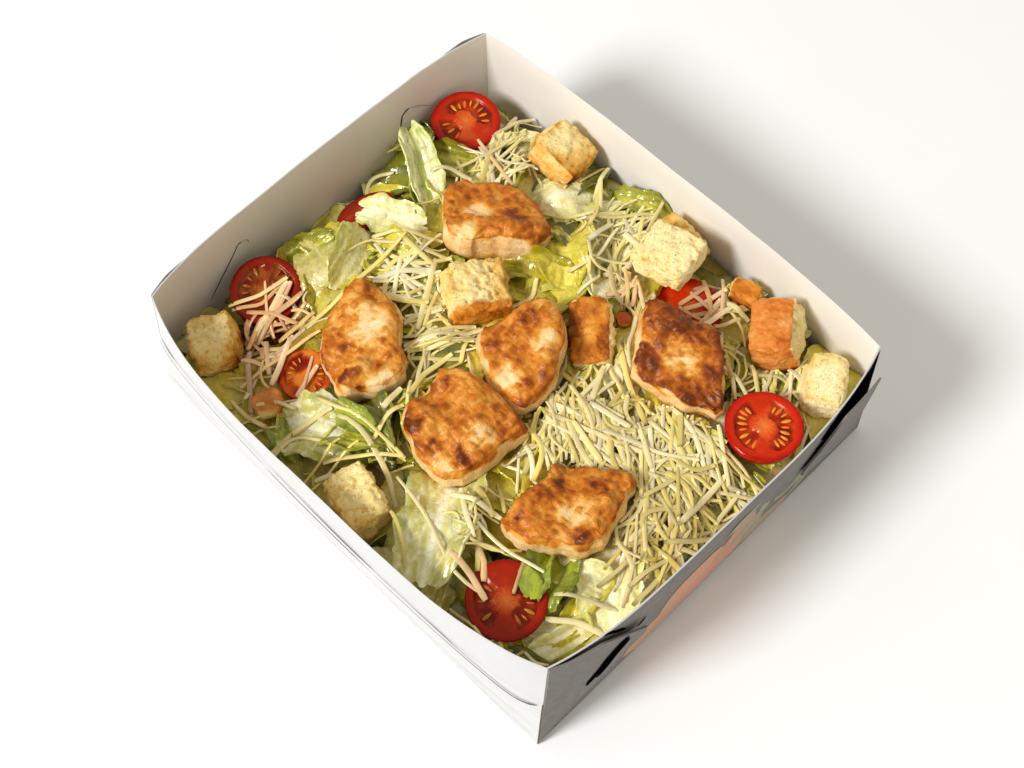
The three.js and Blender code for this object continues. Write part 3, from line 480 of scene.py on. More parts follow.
def noise(points, size, seed=0):
    """Smooth noise from -1 to 1 at each point, in lumps about `size` mm wide. `size` may differ by axis."""
    scaled = np.asarray(points, float) / size
    cell = np.floor(scaled).astype(np.int64)
    part = scaled - cell
    part = part * part * part * (part * (part * 6 - 15) + 10)
    total = np.zeros(len(scaled))
    for dx, dy, dz in itertools.product((0, 1), repeat=3):
        share = np.where(dx, part[:, 0], 1 - part[:, 0])
        share = share * np.where(dy, part[:, 1], 1 - part[:, 1])
        share = share * np.where(dz, part[:, 2], 1 - part[:, 2])
        total += share * lattice(cell[:, 0] + dx, cell[:, 1] + dy, cell[:, 2] + dz, seed)
    return total


def fractal(points, size, octaves, seed=0):
    total = 0
    weight = 1.0
    for octave in range(octaves):
        total = total + weight * noise(points, np.asarray(size) / 2 ** octave, seed + 17 * octave)
        weight *= 0.5
    return total / (2 - 2 ** (1 - octaves))


def layered(points, seed, layers, total=0):
    """Noise added to `total`. Each layer: how much, the lumps' width in mm, its octaves and its own seed."""
    for much, size, octaves, own_seed in layers:
        total = total + much * fractal(points, size, octaves, seed + own_seed)
    return total


def ramp(value, stops):
    """Colours along stops of (place, screen colour), mixed in linear light."""
    places = [place for place, _ in stops]
    colours = np.array([linear(colour) for _, colour in stops])
    return np.stack([np.interp(value, places, colours[:, k]) for k in range(3)], 1)


def blend(first, second, share):
    """A share of the second colour in the first. Either may be one colour or one for each point."""
    return first + (second - first) * np.asarray(share)[:, None]


def softened(values):
    """The values with each one between the ends evened out with its neighbours."""
    values = values.copy()
    values[1:-1] = 0.25 * values[:-2] + 0.5 * values[1:-1] + 0.25 * values[2:]
    return values


def resample(path, count):
    """`count` even steps along a path of points."""
    places = np.linspace(0, len(path) - 1, count)
    return np.stack([np.interp(places, np.arange(len(path)), column) for column in path.T], 1)


def circle(count):
    """Angles evenly spaced all round."""
    return np.linspace(0, 2 * np.pi, count, endpoint=False)


def camera_axes():
    """The photo's right and up, and the way back from what it shows to the camera."""
    a, e = math.radians(CAMERA["azimuth"]), math.radians(CAMERA["elevation"])
    back = np.array((math.sin(a) * math.cos(e), -math.cos(a) * math.cos(e), math.sin(e)))
    right = np.array((math.cos(a), math.sin(a), 0))
    return right, np.cross(back, right), back


def seen_at(px, py, height):
    """The x and y in mm of what a pixel of the photo shows, if it lies at `height`."""
    right, up, back = camera_axes()
    eye = np.array(CAMERA["target"]) + back * CAMERA["distance"]
    middle_x, middle_y = FRAME_MIDDLE_PX
    ray = (px - middle_x) / FOCAL_PX * right - (py - middle_y) / FOCAL_PX * up - back
    return (eye + ray * (height - eye[2]) / ray[2])[:2]


def turn_matrix(turns):
    """A turn about X, Y and Z, in degrees."""
    return np.array(Euler([math.radians(a) for a in turns], "XYZ").to_matrix())


# ---- pieces ----

def bare_mesh(name, points, faces):
    """A mesh from points in mm and arrays of faces, each array with its own number of corners."""
    mesh = bpy.data.meshes.new(name)
    corners = np.concatenate([np.asarray(f, np.int32).ravel() for f in faces])
    counts = np.concatenate([np.full(len(f), np.asarray(f).shape[1], np.int32) for f in faces])
    starts = np.concatenate([[0], np.cumsum(counts)[:-1]]).astype(np.int32)
    mesh.vertices.add(len(points))
    mesh.vertices.foreach_set("co", (np.asarray(points) * MM).astype(np.float32).ravel())
    mesh.loops.add(len(corners))
    mesh.loops.foreach_set("vertex_index", corners)
    mesh.polygons.add(len(counts))
    mesh.polygons.foreach_set("loop_start", starts)
    return mesh


def place_object(name, data):
    item = bpy.data.objects.new(name, data)
    bpy.context.scene.collection.objects.link(item)
    return item


def add_piece(name, points, faces, materials, colours=None, material_index=None, sharp_angle=None):
    mesh = bare_mesh(name, points, faces)
    if material_index is not None:
        mesh.polygons.foreach_set("material_index", np.asarray(material_index, np.int32))
    mesh.update(calc_edges=True)
    mesh.validate()
    mesh.shade_smooth()
    if sharp_angle is not None:
        mesh.set_sharp_from_angle(angle=math.radians(sharp_angle))
    if colours is not None:
        layer = mesh.attributes.new("tint", "FLOAT_COLOR", "POINT")
        rgba = np.ones((len(points), 4), np.float32)
        rgba[:, :3] = colours
        layer.data.foreach_set("color", rgba.ravel())
    for material in materials:
        mesh.materials.append(material)
    return place_object(name, mesh)


def dress(piece, nodes=()):
    """Puts the piece on the one body, and hides the CAD nodes that it stands for."""
    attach(piece, "root")
    if nodes:
        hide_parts(*nodes)


def juiced_and_shaded(points, colours):
    """The colours with tomato juice run over them; the darkest patch is painted shade as well."""
    share = sum(much * hill(points[:, 0], points[:, 1], x, y, reach) for x, y, reach, much in JUICE_AND_SHADE)
    share = np.clip(share * (1 + JUICE_PATCHES["much"] * noise(points, JUICE_PATCHES["size"], 77)), 0, 0.9)
    return blend(colours, linear(JUICE_AND_SHADE_COLOUR), share)


class Bundle:
    """Many bits that become one piece."""

    def __init__(self):
        self.points = []
        self.colours = []
        self.faces = {3: [], 4: []}
        self.count = 0

    def add(self, points, faces, colours):
        for part in faces:
            part = np.asarray(part)
            self.faces[part.shape[1]].append(part + self.count)
        self.points.append(points)
        self.colours.append(np.broadcast_to(colours, (len(points), 3)))
        self.count += len(points)

    def face_arrays(self):
        return [np.concatenate(parts) for parts in self.faces.values() if parts]

    def piece(self, name, materials, sharp_angle=None):
        return add_piece(name, np.concatenate(self.points), self.face_arrays(), materials,
                         np.concatenate(self.colours), sharp_angle=sharp_angle)


def grid_faces(rows, columns, wrap=False):
    """Quads over a grid of points numbered row by row. With `wrap` the last column joins the first."""
    across = columns if wrap else columns - 1
    r, c = np.meshgrid(np.arange(rows - 1), np.arange(across), indexing="ij")
    here = (r * columns + c).ravel()
    beside = (r * columns + (c + 1) % columns).ravel()
    return np.stack([here, beside, beside + columns, here + columns], 1)


def fan(centre, ring, flip=False):
    """Triangles from one point to a ring of points."""
    following = np.roll(ring, -1)
    middle = np.full(len(ring), centre)
    return np.stack([middle, following, ring] if flip else [middle, ring, following], 1)


# ---- materials ----

class Nodes:
    """A material's node tree with short calls for the nodes used here."""

    def __init__(self, name, **sockets):
        self.material = bpy.data.materials.new(name)
        self.material.use_nodes = True
        self.tree = self.material.node_tree
        self.shader = self.tree.nodes["Principled BSDF"]
        self.fill(self.shader, **sockets)

    def fill(self, node, **sockets):
        for socket, value in sockets.items():
            node.inputs[socket.replace("_", " ")].default_value = value

    def link(self, source, target):
        self.tree.links.new(source, target)

    def tint(self):
        """The colour that each point of the mesh carries."""
        node = self.tree.nodes.new("ShaderNodeAttribute")
        node.attribute_name = "tint"
        return node.outputs["Color"]

    def texture(self, kind, size_mm, **sockets):
        node = self.tree.nodes.new(kind)
        self.fill(node, Scale=1 / (size_mm * MM), **sockets)
        self.link(self.tree.nodes.new("ShaderNodeTexCoord").outputs["Object"], node.inputs["Vector"])
        return node

    def noise(self, size_mm, detail=3.0, roughness=0.55):
        return self.texture("ShaderNodeTexNoise", size_mm, Detail=detail, Roughness=roughness).outputs["Fac"]

    def specks(self, size_mm, share):
        """White dots, one in each cell of `size_mm`, that fill `share` of the cell's width."""
        cells = self.texture("ShaderNodeTexVoronoi", size_mm)
        return self.spread(cells.outputs["Distance"], share, share * 0.6, 0, 1)

    def spread(self, value, from_low, from_high, to_low, to_high):
        node = self.tree.nodes.new("ShaderNodeMapRange")
        self.fill(node, From_Min=from_low, From_Max=from_high, To_Min=to_low, To_Max=to_high)
        self.link(value, node.inputs["Value"])
        return node.outputs["Result"]

    def mix(self, factor, first, second, mode="MIX"):
        """A mix of two colours. Each source is a number, a screen colour or a node's output."""
        node = self.tree.nodes.new("ShaderNodeMix")
        node.data_type = "RGBA"
        node.blend_type = mode
        for source, name in ((factor, "Factor_Float"), (first, "A_Color"), (second, "B_Color")):
            socket = next(s for s in node.inputs if s.identifier == name)
            if isinstance(source, (int, float)):
                socket.default_value = source
            elif isinstance(source, tuple):
                socket.default_value = (*linear(source), 1)
            else:
                self.link(source, socket)
        return next(s for s in node.outputs if s.identifier == "Result_Color")

    def colour(self, source):
        self.link(source, self.shader.inputs["Base Color"])

    def roughness(self, size_mm, low, high):
        self.link(self.spread(self.noise(size_mm), 0.35, 0.65, low, high), self.shader.inputs["Roughness"])

    def bump(self, height, depth_mm):
        node = self.tree.nodes.new("ShaderNodeBump")
        self.fill(node, Strength=1.0, Distance=depth_mm * MM)
        self.link(height, node.inputs["Height"])
        self.link(node.outputs["Normal"], self.shader.inputs["Normal"])


# How far red, green and blue light spread inside food that has no glow of its own.
SOFT_GLOW = (1.0, 0.9, 0.55)


def tinted_material(name, grain_mm, contrast, rough, bump_mm, **sockets):
    """Each point's own colour, varied by fine noise, with matching roughness and relief."""
    sockets.setdefault("Subsurface_Radius", SOFT_GLOW)
    nodes = Nodes(name, **sockets)
    grain = nodes.noise(grain_mm)
    shade = nodes.spread(grain, 0.25, 0.75, 1 - contrast, 1 + contrast)
    nodes.colour(nodes.mix(1.0, nodes.tint(), shade, "MULTIPLY"))
    nodes.roughness(grain_mm * 2.5, *rough)
    nodes.bump(grain, bump_mm)
    return nodes.material


def crumb_material():
    """Torn bread: small soft pores and herb specks."""
    nodes = Nodes("crouton_crumb", Roughness=0.8, Specular_IOR_Level=0.2)
    pores = nodes.spread(nodes.noise(0.7, 2.0, 0.5), 0.6, 0.72, 0, 1)
    shade = nodes.spread(nodes.noise(0.5), 0.25, 0.75, 0.88, 1.1)
    crumb = nodes.mix(1.0, nodes.tint(), shade, "MULTIPLY")
    crumb = nodes.mix(nodes.spread(pores, 0, 1, 0, 0.22), crumb, (182, 130, 56))
    crumb = nodes.mix(nodes.spread(nodes.specks(1.9, 0.12), 0, 1, 0, 0.24), crumb, (140, 100, 38))
    crumb = nodes.mix(nodes.spread(nodes.specks(6.0, 0.08), 0, 1, 0, 0.7), crumb, (70, 40, 10))
    nodes.colour(crumb)
    nodes.bump(nodes.spread(pores, 0, 1, 1, 0), 0.27)
    return nodes.material


def crust_material():
    """Baked crust: smoother and a little glossy, with fine wrinkles."""
    nodes = Nodes("crouton_crust", Specular_IOR_Level=0.32, Specular_Tint=(1.0, 0.84, 0.55, 1))
    wrinkles = nodes.spread(nodes.noise(1.6, 3.0, 0.6), 0.3, 0.7, 0, 1)
    nodes.colour(nodes.mix(1.0, nodes.tint(), nodes.spread(wrinkles, 0, 1, 0.84, 1.14), "MULTIPLY"))
    nodes.roughness(3.0, 0.34, 0.55)
    nodes.bump(wrinkles, 0.3)
    return nodes.material


def meat_material():
    return tinted_material(
        "chicken_meat", 0.8, 0.16, (0.2, 0.42), 0.3, Subsurface_Weight=0.05, Subsurface_Scale=0.002,
        Subsurface_Radius=(1.0, 0.6, 0.3), Specular_IOR_Level=0.48, Specular_Tint=(1.0, 0.86, 0.6, 1))


def flesh_material():
    return tinted_material(
        "tomato_flesh", 0.8, 0.1, (0.14, 0.25), 0.06, Subsurface_Weight=0.08, Subsurface_Scale=0.002,
        Subsurface_Radius=(1.0, 0.25, 0.1), Specular_IOR_Level=0.3, Specular_Tint=(1.0, 0.7, 0.5, 1),
        Coat_Weight=0.08)


def leaf_material():
    return tinted_material(
        "lettuce_leaf", 1.6, 0.18, (0.08, 0.24), 0.42, Specular_IOR_Level=0.5,
        Specular_Tint=(1.0, 0.96, 0.72, 1), Coat_Weight=0.6, Coat_Roughness=0.06)


def cheese_material():
    return tinted_material(
        "grated_cheese", 1.1, 0.06, (0.22, 0.4), 0.05, Specular_IOR_Level=0.45,
        Specular_Tint=(1.0, 0.94, 0.7, 1), Coat_Weight=0.12)


def ink_material():
    return tinted_material("flat_ink", 0.8, 0.05, (0.5, 0.6), 0.02)


def gap_material():
    """Deep shade between two layers of board: no gloss at all."""
    return tinted_material("dark_gaps", 0.8, 0.0, (0.9, 0.95), 0.0, Specular_IOR_Level=0.0)


def board_material(name, colour, mottle):
    """Matt coated board: soft clouds and short fibres between two near tones."""
    nodes = Nodes(name, Specular_IOR_Level=0.35)
    cloud = nodes.spread(nodes.noise(14.0), 0.3, 0.7, 0, 1)
    fibre = nodes.spread(nodes.noise(0.5), 0.3, 0.7, 0, 1)
    tone = nodes.mix(cloud, colour, mottle)
    nodes.colour(nodes.mix(fibre, tone, nodes.mix(0.4, colour, mottle)))
    nodes.roughness(3.0, 0.5, 0.65)
    nodes.bump(nodes.noise(0.6), 0.03)
    return nodes.material


# ---- the tray ----

BASE_CORNERS = [(i * BASE[0] / 2, j * BASE[1] / 2) for i, j in ((-1, -1), (1, -1), (1, 1), (-1, 1))]


def corner(side, z, inset):
    """Where a wall starts at height z, moved in by `inset` along X and Y."""
    (bx, by), (rx, ry) = BASE_CORNERS[side % 4], RIM_CORNERS[side % 4]
    rise = z / HEIGHT
    x = bx + (rx - bx) * rise - math.copysign(inset[0], bx)
    y = by + (ry - by) * rise - math.copysign(inset[1], by)
    return x, y


def wall(side, share, z, inset=(0, 0), out=0):
    """Points on one wall at shares of its length, pushed out by the wall's bow and by `out`."""
    share, z = np.broadcast_arrays(np.asarray(share, float), np.asarray(z, float))
    x0, y0 = corner(side, z, inset)
    x1, y1 = corner(side + 1, z, inset)
    length = np.hypot(x1 - x0, y1 - y0)
    swell = 1 - np.abs(2 * share - 1) ** BOW_SQUARENESS
    push = BOW[side % 4] * swell * (np.maximum(z, 0) / HEIGHT) ** BOW_RISE + out
    x = x0 + (x1 - x0) * share + (y1 - y0) / length * push
    y = y0 + (y1 - y0) * share - (x1 - x0) / length * push
    return np.stack([x, y, z], -1)


def outline(z, inset, steps=SIDE_STEPS):
    """The walls' line all round at height z, with more points near the corners."""
    even = np.arange(steps) / steps
    share = even + CORNER_CROWDING * (0.5 - 0.5 * np.cos(np.pi * even) - even)
    return np.concatenate([wall(side, share, z, inset) for side in range(4)])


def tray_rings():
    """Rings of the board's section: up the outside, over the rim and down the inside to the floor."""
    flat = (0, 0)
    proud = (0, -PLY)
    dent = (EDGE_ROUNDING, EDGE_ROUNDING)
    levels = [(0, (0.4, 0.4)), (0.5, flat), (7, flat), (15, flat)]
    for z in CREASES:
        levels += [(z - 0.35, flat), (z, dent), (z + 0.35, flat)]
    levels += [(SEAM_Z - 0.6, flat), (SEAM_Z - 0.1, (0.25, 0.25)), (SEAM_Z, proud)]
    levels += [(z, proud) for z in (40, 47, 54, HEIGHT - 0.4)]
    levels += [(HEIGHT, (EDGE_ROUNDING, EDGE_ROUNDING - PLY))]
    levels += [(HEIGHT, (SHEET - EDGE_ROUNDING, SHEET - EDGE_ROUNDING))]
    levels += [(z, (SHEET, SHEET)) for z in (HEIGHT - 0.4, 54, 47, 40, SEAM_Z, 25, 16, 8, BOARD)]
    return [outline(z, inset) for z, inset in levels]


def sway(points):
    """Board is never quite flat: the walls wave a little, more towards the rim and not at the corners."""
    wave = 0.35 * noise(points * (1, 1, 0.6), 34, 5) + 0.12 * noise(points, 9, 6)
    rise = np.clip(points[:, 2] / HEIGHT, 0, 1)
    middle = np.abs(points[:, :2]) / np.array([RIM_CORNERS[1][0], RIM_CORNERS[2][1]])
    out = np.where((middle[:, 0] > middle[:, 1])[:, None], (1, 0), (0, 1)) * np.sign(points[:, :2])
    calm = 1 - smoothstep(0.9, 1.0, middle.min(1))
    points[:, :2] += out * (wave * rise * calm)[:, None]


def make_tray(materials):
    """The board: white outside, a warmer white inside, and grey on the printed wall."""
    white, inner, printed = range(3)
    rings = tray_rings()
    count = len(rings[0])
    points = np.concatenate(rings)
    sway(points)
    sides = grid_faces(len(rings), count, wrap=True)
    side_of_face = np.tile(np.arange(count) // SIDE_STEPS, len(rings) - 1)
    ring_of_face = np.repeat(np.arange(len(rings) - 1), count)
    rim_ring = next(i for i, ring in enumerate(rings) if ring[0, 2] == HEIGHT)
    index = np.full(len(sides), white)
    index[(side_of_face == NEAR_RIGHT) & (ring_of_face < rim_ring - 1)] = printed
    index[ring_of_face > rim_ring] = inner
    under, over = len(points), len(points) + 1
    points = np.concatenate([points, [[0, 0, 0], [0, 0, BOARD]]])
    caps = np.concatenate([fan(under, np.arange(count), flip=True),
                           fan(over, np.arange(count) + (len(rings) - 1) * count)])
    index = np.concatenate([index, np.full(count, white), np.full(count, inner)])
    piece = add_piece("tray_board", points, [sides, caps], materials, material_index=index, sharp_angle=32)
    dress(piece, ["tray"])


def flap_points(side, from_start, shape, mouth, tip):
    """Sections of a gusset flap: a ring of points up its inner face and down its outer one."""
    table = np.array(shape, float)
    along = np.linspace(table[0, 0], table[-1, 0], FLAP_STATIONS)
    low, high = (np.interp(along, table[:, 0], table[:, k]) for k in (1, 2))
    share = along / table[-1, 0]
    place = along / BASE[1] if from_start else 1 - along / BASE[1]
    gape = np.minimum(share / FLAP_MOUTH_SHARE, 1) * (1 - share)
    levels = np.linspace(0, 1, FLAP_LEVELS)
    z = low[:, None] + (high - low)[:, None] * levels
    lift = mouth * gape[:, None] * (z / HEIGHT) + (tip * share ** 2 - FLAP_SUNK * (1 - share))[:, None]
    inner = wall(side, place[:, None], z, out=lift)
    outer = wall(side, place[:, None], z, out=lift + FLAP_THICKNESS)
    return np.concatenate([inner, outer[:, ::-1]], 1)


def make_flaps(materials):
    bundle = Bundle()
    for side, from_start, shape, mouth, tip in FLAPS:
        rings = flap_points(side, from_start, shape, mouth, tip)
        stations, corners = rings.shape[:2]
        faces = grid_faces(stations, corners, wrap=True)
        ends = []
        for first, flip in ((0, True), ((stations - 1) * corners, False)):
            for k in range(corners // 2 - 1):
                quad = [first + k, first + k + 1, first + corners - 2 - k, first + corners - 1 - k]
                ends.append(quad if flip else quad[::-1])
        ends = np.array(ends)
        if from_start:
            faces, ends = faces[:, ::-1], ends[:, ::-1]
        bundle.add(rings.reshape(-1, 3), [faces, ends], linear((255, 255, 255)))
    dress(bundle.piece("tray_gussets", materials, sharp_angle=40))


def wall_patch(bundle, centre, edge, colour, out):
    """A thin field of colour on the near right wall. Its edge is in mm along and up, round `centre`."""
    rings = np.concatenate([[[0, 0]], *[edge * k for k in (0.34, 0.67, 1)]]) + centre
    place = wall(NEAR_RIGHT, rings[:, 0] / BASE[1], rings[:, 1], out=out)
    n = len(edge)
    faces = [fan(0, np.arange(1, n + 1))]
    for k in range(2):
        inner = 1 + k * n + np.arange(n)
        faces.append(np.stack([inner, inner + n, np.roll(inner, -1) + n, np.roll(inner, -1)], 1))
    bundle.add(place, faces, colour)


def print_leaf(length, width, turn):
    """A printed leaf's outline, pointed at both ends."""
    t = circle(24)
    x = length / 2 * np.cos(t)
    y = width / 2 * np.sin(t) * (1 - 0.35 * np.cos(t)) * np.abs(np.sin(t)) ** 0.25
    a = math.radians(turn)
    return np.stack([x * math.cos(a) - y * math.sin(a), x * math.sin(a) + y * math.cos(a)], 1)


def print_blob(width, height, seed):
    """A printed soft shape's outline."""
    t = circle(28)
    r = 1 + 0.22 * noise(np.stack([np.cos(t), np.sin(t), np.full_like(t, seed)], 1), 0.8, seed)
    return np.stack([width / 2 * r * np.cos(t), height / 2 * r * np.sin(t)], 1)


def make_print(material):
    bundle = Bundle()
    for shape, off, rows in ((print_blob, 0.05, PRINT_BLOBS), (print_leaf, 0.1, PRINT_LEAVES)):
        for centre, size, seed_or_turn, tone in rows:
            wall_patch(bundle, centre, shape(*size, seed_or_turn), linear(tone), off)
    dress(bundle.piece("tray_print", [material]))


def add_wall_line(bundle, side, inside, off, width, colour, points):
    """A thin ribbon along a wall, tapered at its ends."""
    path = np.array(points, float)
    line = softened(resample(path, LINE_STEPS))
    off = line[:, 2:] if line.shape[1] > 2 else off
    line = line[:, :2]
    length = BASE[side % 2]
    line[:, 0] *= length / 100
    tangent = np.gradient(line, axis=0)
    across = np.stack([-tangent[:, 1], tangent[:, 0]], 1) / np.linalg.norm(tangent, axis=1)[:, None]
    steps = np.linspace(0, len(path) - 1, LINE_STEPS)
    taper = np.minimum(1, np.minimum(steps, steps[-1] - steps) * 1.5 + 0.25)[:, None] * width / 2
    edges = np.stack([line - across * taper, line + across * taper], 1)
    inset = (SHEET, SHEET) if inside else (0, 0)
    place = wall(side, edges[..., 0] / length, edges[..., 1], inset, -off if inside else off)
    faces = grid_faces(len(line), 2)
    bundle.add(place.reshape(-1, 3), [faces if inside else faces[:, ::-1]], linear(colour))


# Painted shade on the board: the dark lines, and the dark throat behind the sprung flap.
def make_painted_shade_lines(material):
    bundle = Bundle()
    for row in WALL_SHADE_LINES:
        add_wall_line(bundle, *row)
    # The throat's painted shadow.
    throat = np.array(SHADOWED_THROAT, float) * (BASE[1] / 100, 1)
    wall_patch(bundle, throat.mean(0), throat - throat.mean(0), linear(THROAT_SHADOW_COLOUR), 0.09)
    dress(bundle.piece("tray_painted_shade", [material]))


# ---- the heap's form ----

def heap_height(x, y):
    """The top of the bare heap: a low crown with ripples, sunk in the hollows."""
    out = np.minimum(1, (np.abs(x) / HEAP["half_length"]) ** 3 + (np.abs(y) / HEAP["half_width"]) ** 3)
    ripple = np.sin(x / RIPPLE["along_x"] + 1) * np.cos(y / RIPPLE["along_y"] - 0.5)
    ripple = RIPPLE["height"] * (ripple + np.sin((x - y) / RIPPLE["diagonal"]))
    sunk = sum(depth * hill(x, y, hx, hy, reach) for hx, hy, reach, depth in HOLLOWS)
    return np.maximum(HEAP["edge"] + HEAP["crown"] * (1 - out) + ripple - sunk, HEAP["lowest"])


def core_rings():
    """The core's rings: the bottom one, and those from the wall up and in to the middle."""
    gap = (WALL_GAP, WALL_GAP)
    bottom = outline(CORE["floor"], gap, CORE["steps"])
    rim = bottom.copy()
    level = np.full(len(rim), float(HEAP["edge"]))
    for _ in range(3):
        rim = np.stack([outline(z, gap, CORE["steps"])[i] for i, z in enumerate(level)])
        level = heap_height(rim[:, 0], rim[:, 1]) - CORE["sunk"]
    rings = [bottom]
    for share in np.linspace(1, 0.03, CORE["rings"]):
        ring = rim * (share, share, 1)
        ring[:, 2] = heap_height(ring[:, 0], ring[:, 1]) - CORE["sunk"]
        rings.append(ring)
    return rings


def core_colours(points):
    """Shaded greens, and straw where cheese lies thick above."""
    colours = ramp(0.5 + 0.5 * fractal(points, 8, 3, 8), CORE_TONES)
    cheesy = np.clip([cheese_density(x, y) / 8 for x, y, _ in points], 0, 0.8)
    return juiced_and_shaded(points, blend(colours, linear(CORE_CHEESE), cheesy))


def make_core(material):
    rings = core_rings()
    top = heap_height(0.0, 0.0) - CORE["sunk"]
    points = np.concatenate([*rings, [[0, 0, CORE["floor"]], [0, 0, top]]])
    on_top = points[:, 2] > CORE["floor"] + 2
    points[:, 2] += np.where(on_top, CORE["lumps"] * fractal(points, 7, 3, 3), 0)
    count = len(rings[0])
    sides = grid_faces(len(rings), count, wrap=True)
    caps = np.concatenate([fan(len(points) - 2, np.arange(count), flip=True),
                           fan(len(points) - 1, np.arange(count) + (len(rings) - 1) * count)])
    piece = add_piece("salad_core", points, [sides, caps], [material], core_colours(points))
    dress(piece, ["salad"])
    return points, [sides, caps]


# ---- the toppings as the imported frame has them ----

class Toppings:
    """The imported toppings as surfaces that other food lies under, over or beside."""

    def __init__(self):
        names = [f"chicken_{i + 1}" for i in range(len(CHICKEN_AT))]
        names += [f"crouton_{i + 1}" for i in range(len(CROUTONS))]
        self.crossable = [len(names) + i for i in CHEESE_OVER]
        self.names = names + [f"tomato_{i + 1}" for i in range(len(TOMATOES))]
        self.items = []
        for name in self.names:
            low, high = (np.array(c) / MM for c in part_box(name))
            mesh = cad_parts[name].data
            points = [v.co / MM for v in mesh.vertices]
            self.items.append((low, high, BVHTree.FromPolygons(points, [p.vertices for p in mesh.polygons])))

    def hits(self, x, y, start, direction):
        """The toppings that a line up or down through (x, y) meets first, and at what height."""
        for index, (low, high, tree) in enumerate(self.items):
            if low[0] <= x <= high[0] and low[1] <= y <= high[1]:
                hit = tree.ray_cast(Vector((x, y, start)), Vector((0, 0, direction)))[0]
                if hit is not None:
                    yield index, hit.z

    def lowest(self, x, y, besides=None):
        return min((z for index, z in self.hits(x, y, 0, 1) if self.names[index] != besides), default=None)

    def top_of(self, name, x, y):
        return max((z for index, z in self.hits(x, y, HIGH, -1) if self.names[index] == name), default=None)

    def highest(self, x, y):
        return max(self.hits(x, y, HIGH, -1), key=lambda found: found[1], default=None)


def within_walls(points, gap):
    """The points moved in from the walls, to `gap` mm from the board at their own level."""
    points = points.copy()
    inset = (SHEET + gap, SHEET + gap)
    for side in (*range(4), *range(4)):
        axis = side % 2
        z = points[:, 2]
        start, end = corner(side, z, inset)[axis], corner(side + 1, z, inset)[axis]
        share = np.clip((points[:, axis] - start) / (end - start), 0, 1)
        limit = wall(side, share, z, inset)[:, 1 - axis]
        keep = np.maximum if side in (0, 3) else np.minimum
        points[:, 1 - axis] = keep(points[:, 1 - axis], limit)
    return points


# ---- lettuce ----

def leaf_edges(u, v, length, width, seed):
    """Where the leaf's points lie before it bends: its torn outline stretched over u and v."""
    key = np.full(u.size, seed * 3.7)
    half = width / 2 * np.sqrt(np.maximum(1 - 0.8 * np.abs(u) ** 2.6, 0.05))
    torn = 0.16 * noise(np.stack([u * 3, np.sign(v), key], 1), 1, seed)
    torn += 0.05 * noise(np.stack([u * 11, np.sign(v), key], 1), 1, seed + 5)
    half = half * (1 + torn)
    end = 1 + 0.12 * noise(np.stack([np.sign(u), v * 2.5, key], 1), 1, seed + 1)
    return u * length / 2 * end, v * half, half, key


def leaf_veins(u, v, x, y, width, seed):
    """How near each point is to the midrib, and to one of the side veins."""
    rib = np.exp(-(y / (0.05 * width * (1.3 - 0.5 * u) + 0.4)) ** 2)
    spread = v * 3.2 + 0.25 * np.sin(x / 3 + seed)
    vein = np.exp(-(((spread + 0.5) % 1 - 0.5) / 0.15) ** 2) * (1 - rib) * (0.75 - 0.45 * np.abs(v))
    return rib, vein


def leaf_form(length, width, arch, fold, ruffle, seed, rows, columns):
    """A torn leaf lying along X: its middle surface, how near each point is to a vein, and to the edge."""
    grid = np.meshgrid(np.linspace(-1, 1, rows), np.linspace(-1, 1, columns), indexing="ij")
    u, v = (values.ravel() for values in grid)
    x, y, half, key = leaf_edges(u, v, length, width, seed)
    plane = np.stack([x, y, key * 9], 1)
    z = fold * np.abs(v) ** 1.5 * half - arch * u ** 2 * length / 2
    z = z + ruffle * v ** 2 * np.sin(x / 2.6 + seed * 1.3 + 1.5 * v)
    z = z + 0.45 * ruffle * np.sin(x / 4.1 + seed) * np.cos(y / 3.3 + seed)
    rib, vein = leaf_veins(u, v, x, y, width, seed)
    cells = np.abs(noise(plane * (0.7, 1, 1), 3.6, seed + 2))
    blister = 1.5 * cells + 0.7 * np.abs(noise(plane, 1.9, seed + 3))
    blister = blister * min(1.0, 0.25 + 0.5 * ruffle)
    z = z + 0.7 * rib + 0.5 * vein + blister * (1 - np.maximum(rib, vein))
    z = z + 1.3 * fractal(plane, 10, 2, seed + 4)
    pleat = np.sin(y * 1.9 + 2.4 * noise(plane, 8, seed + 6))
    z = z + 0.38 * pleat * smoothstep(0.1, 0.5, np.abs(v))
    net = 0.6 * (1 - smoothstep(0.02, 0.14, cells))
    edge = np.maximum(np.abs(v), np.abs(u) ** 2)
    return np.stack([x, y, z], -1), np.clip(rib + vein + net, 0, 1), edge


def thicken(surface, thickness):
    """Both faces of a thin sheet and the strip round its edge."""
    rows, columns = surface.shape[:2]
    normal = np.cross(np.gradient(surface, axis=0), np.gradient(surface, axis=1))
    normal /= np.linalg.norm(normal, axis=-1, keepdims=True) + 1e-9
    offset = normal * thickness.reshape(rows, columns, 1) / 2
    points = np.concatenate([(surface + offset).reshape(-1, 3), (surface - offset).reshape(-1, 3)])
    top = grid_faces(rows, columns)
    under = rows * columns
    ring = np.concatenate([
        np.arange(columns), np.arange(1, rows) * columns + columns - 1,
        (rows - 1) * columns + np.arange(columns - 2, -1, -1), np.arange(rows - 2, 0, -1) * columns])
    following = np.roll(ring, -1)
    rim = np.stack([ring, following, following + under, ring + under], 1)
    return points, [top[:, ::-1], top + under, rim]


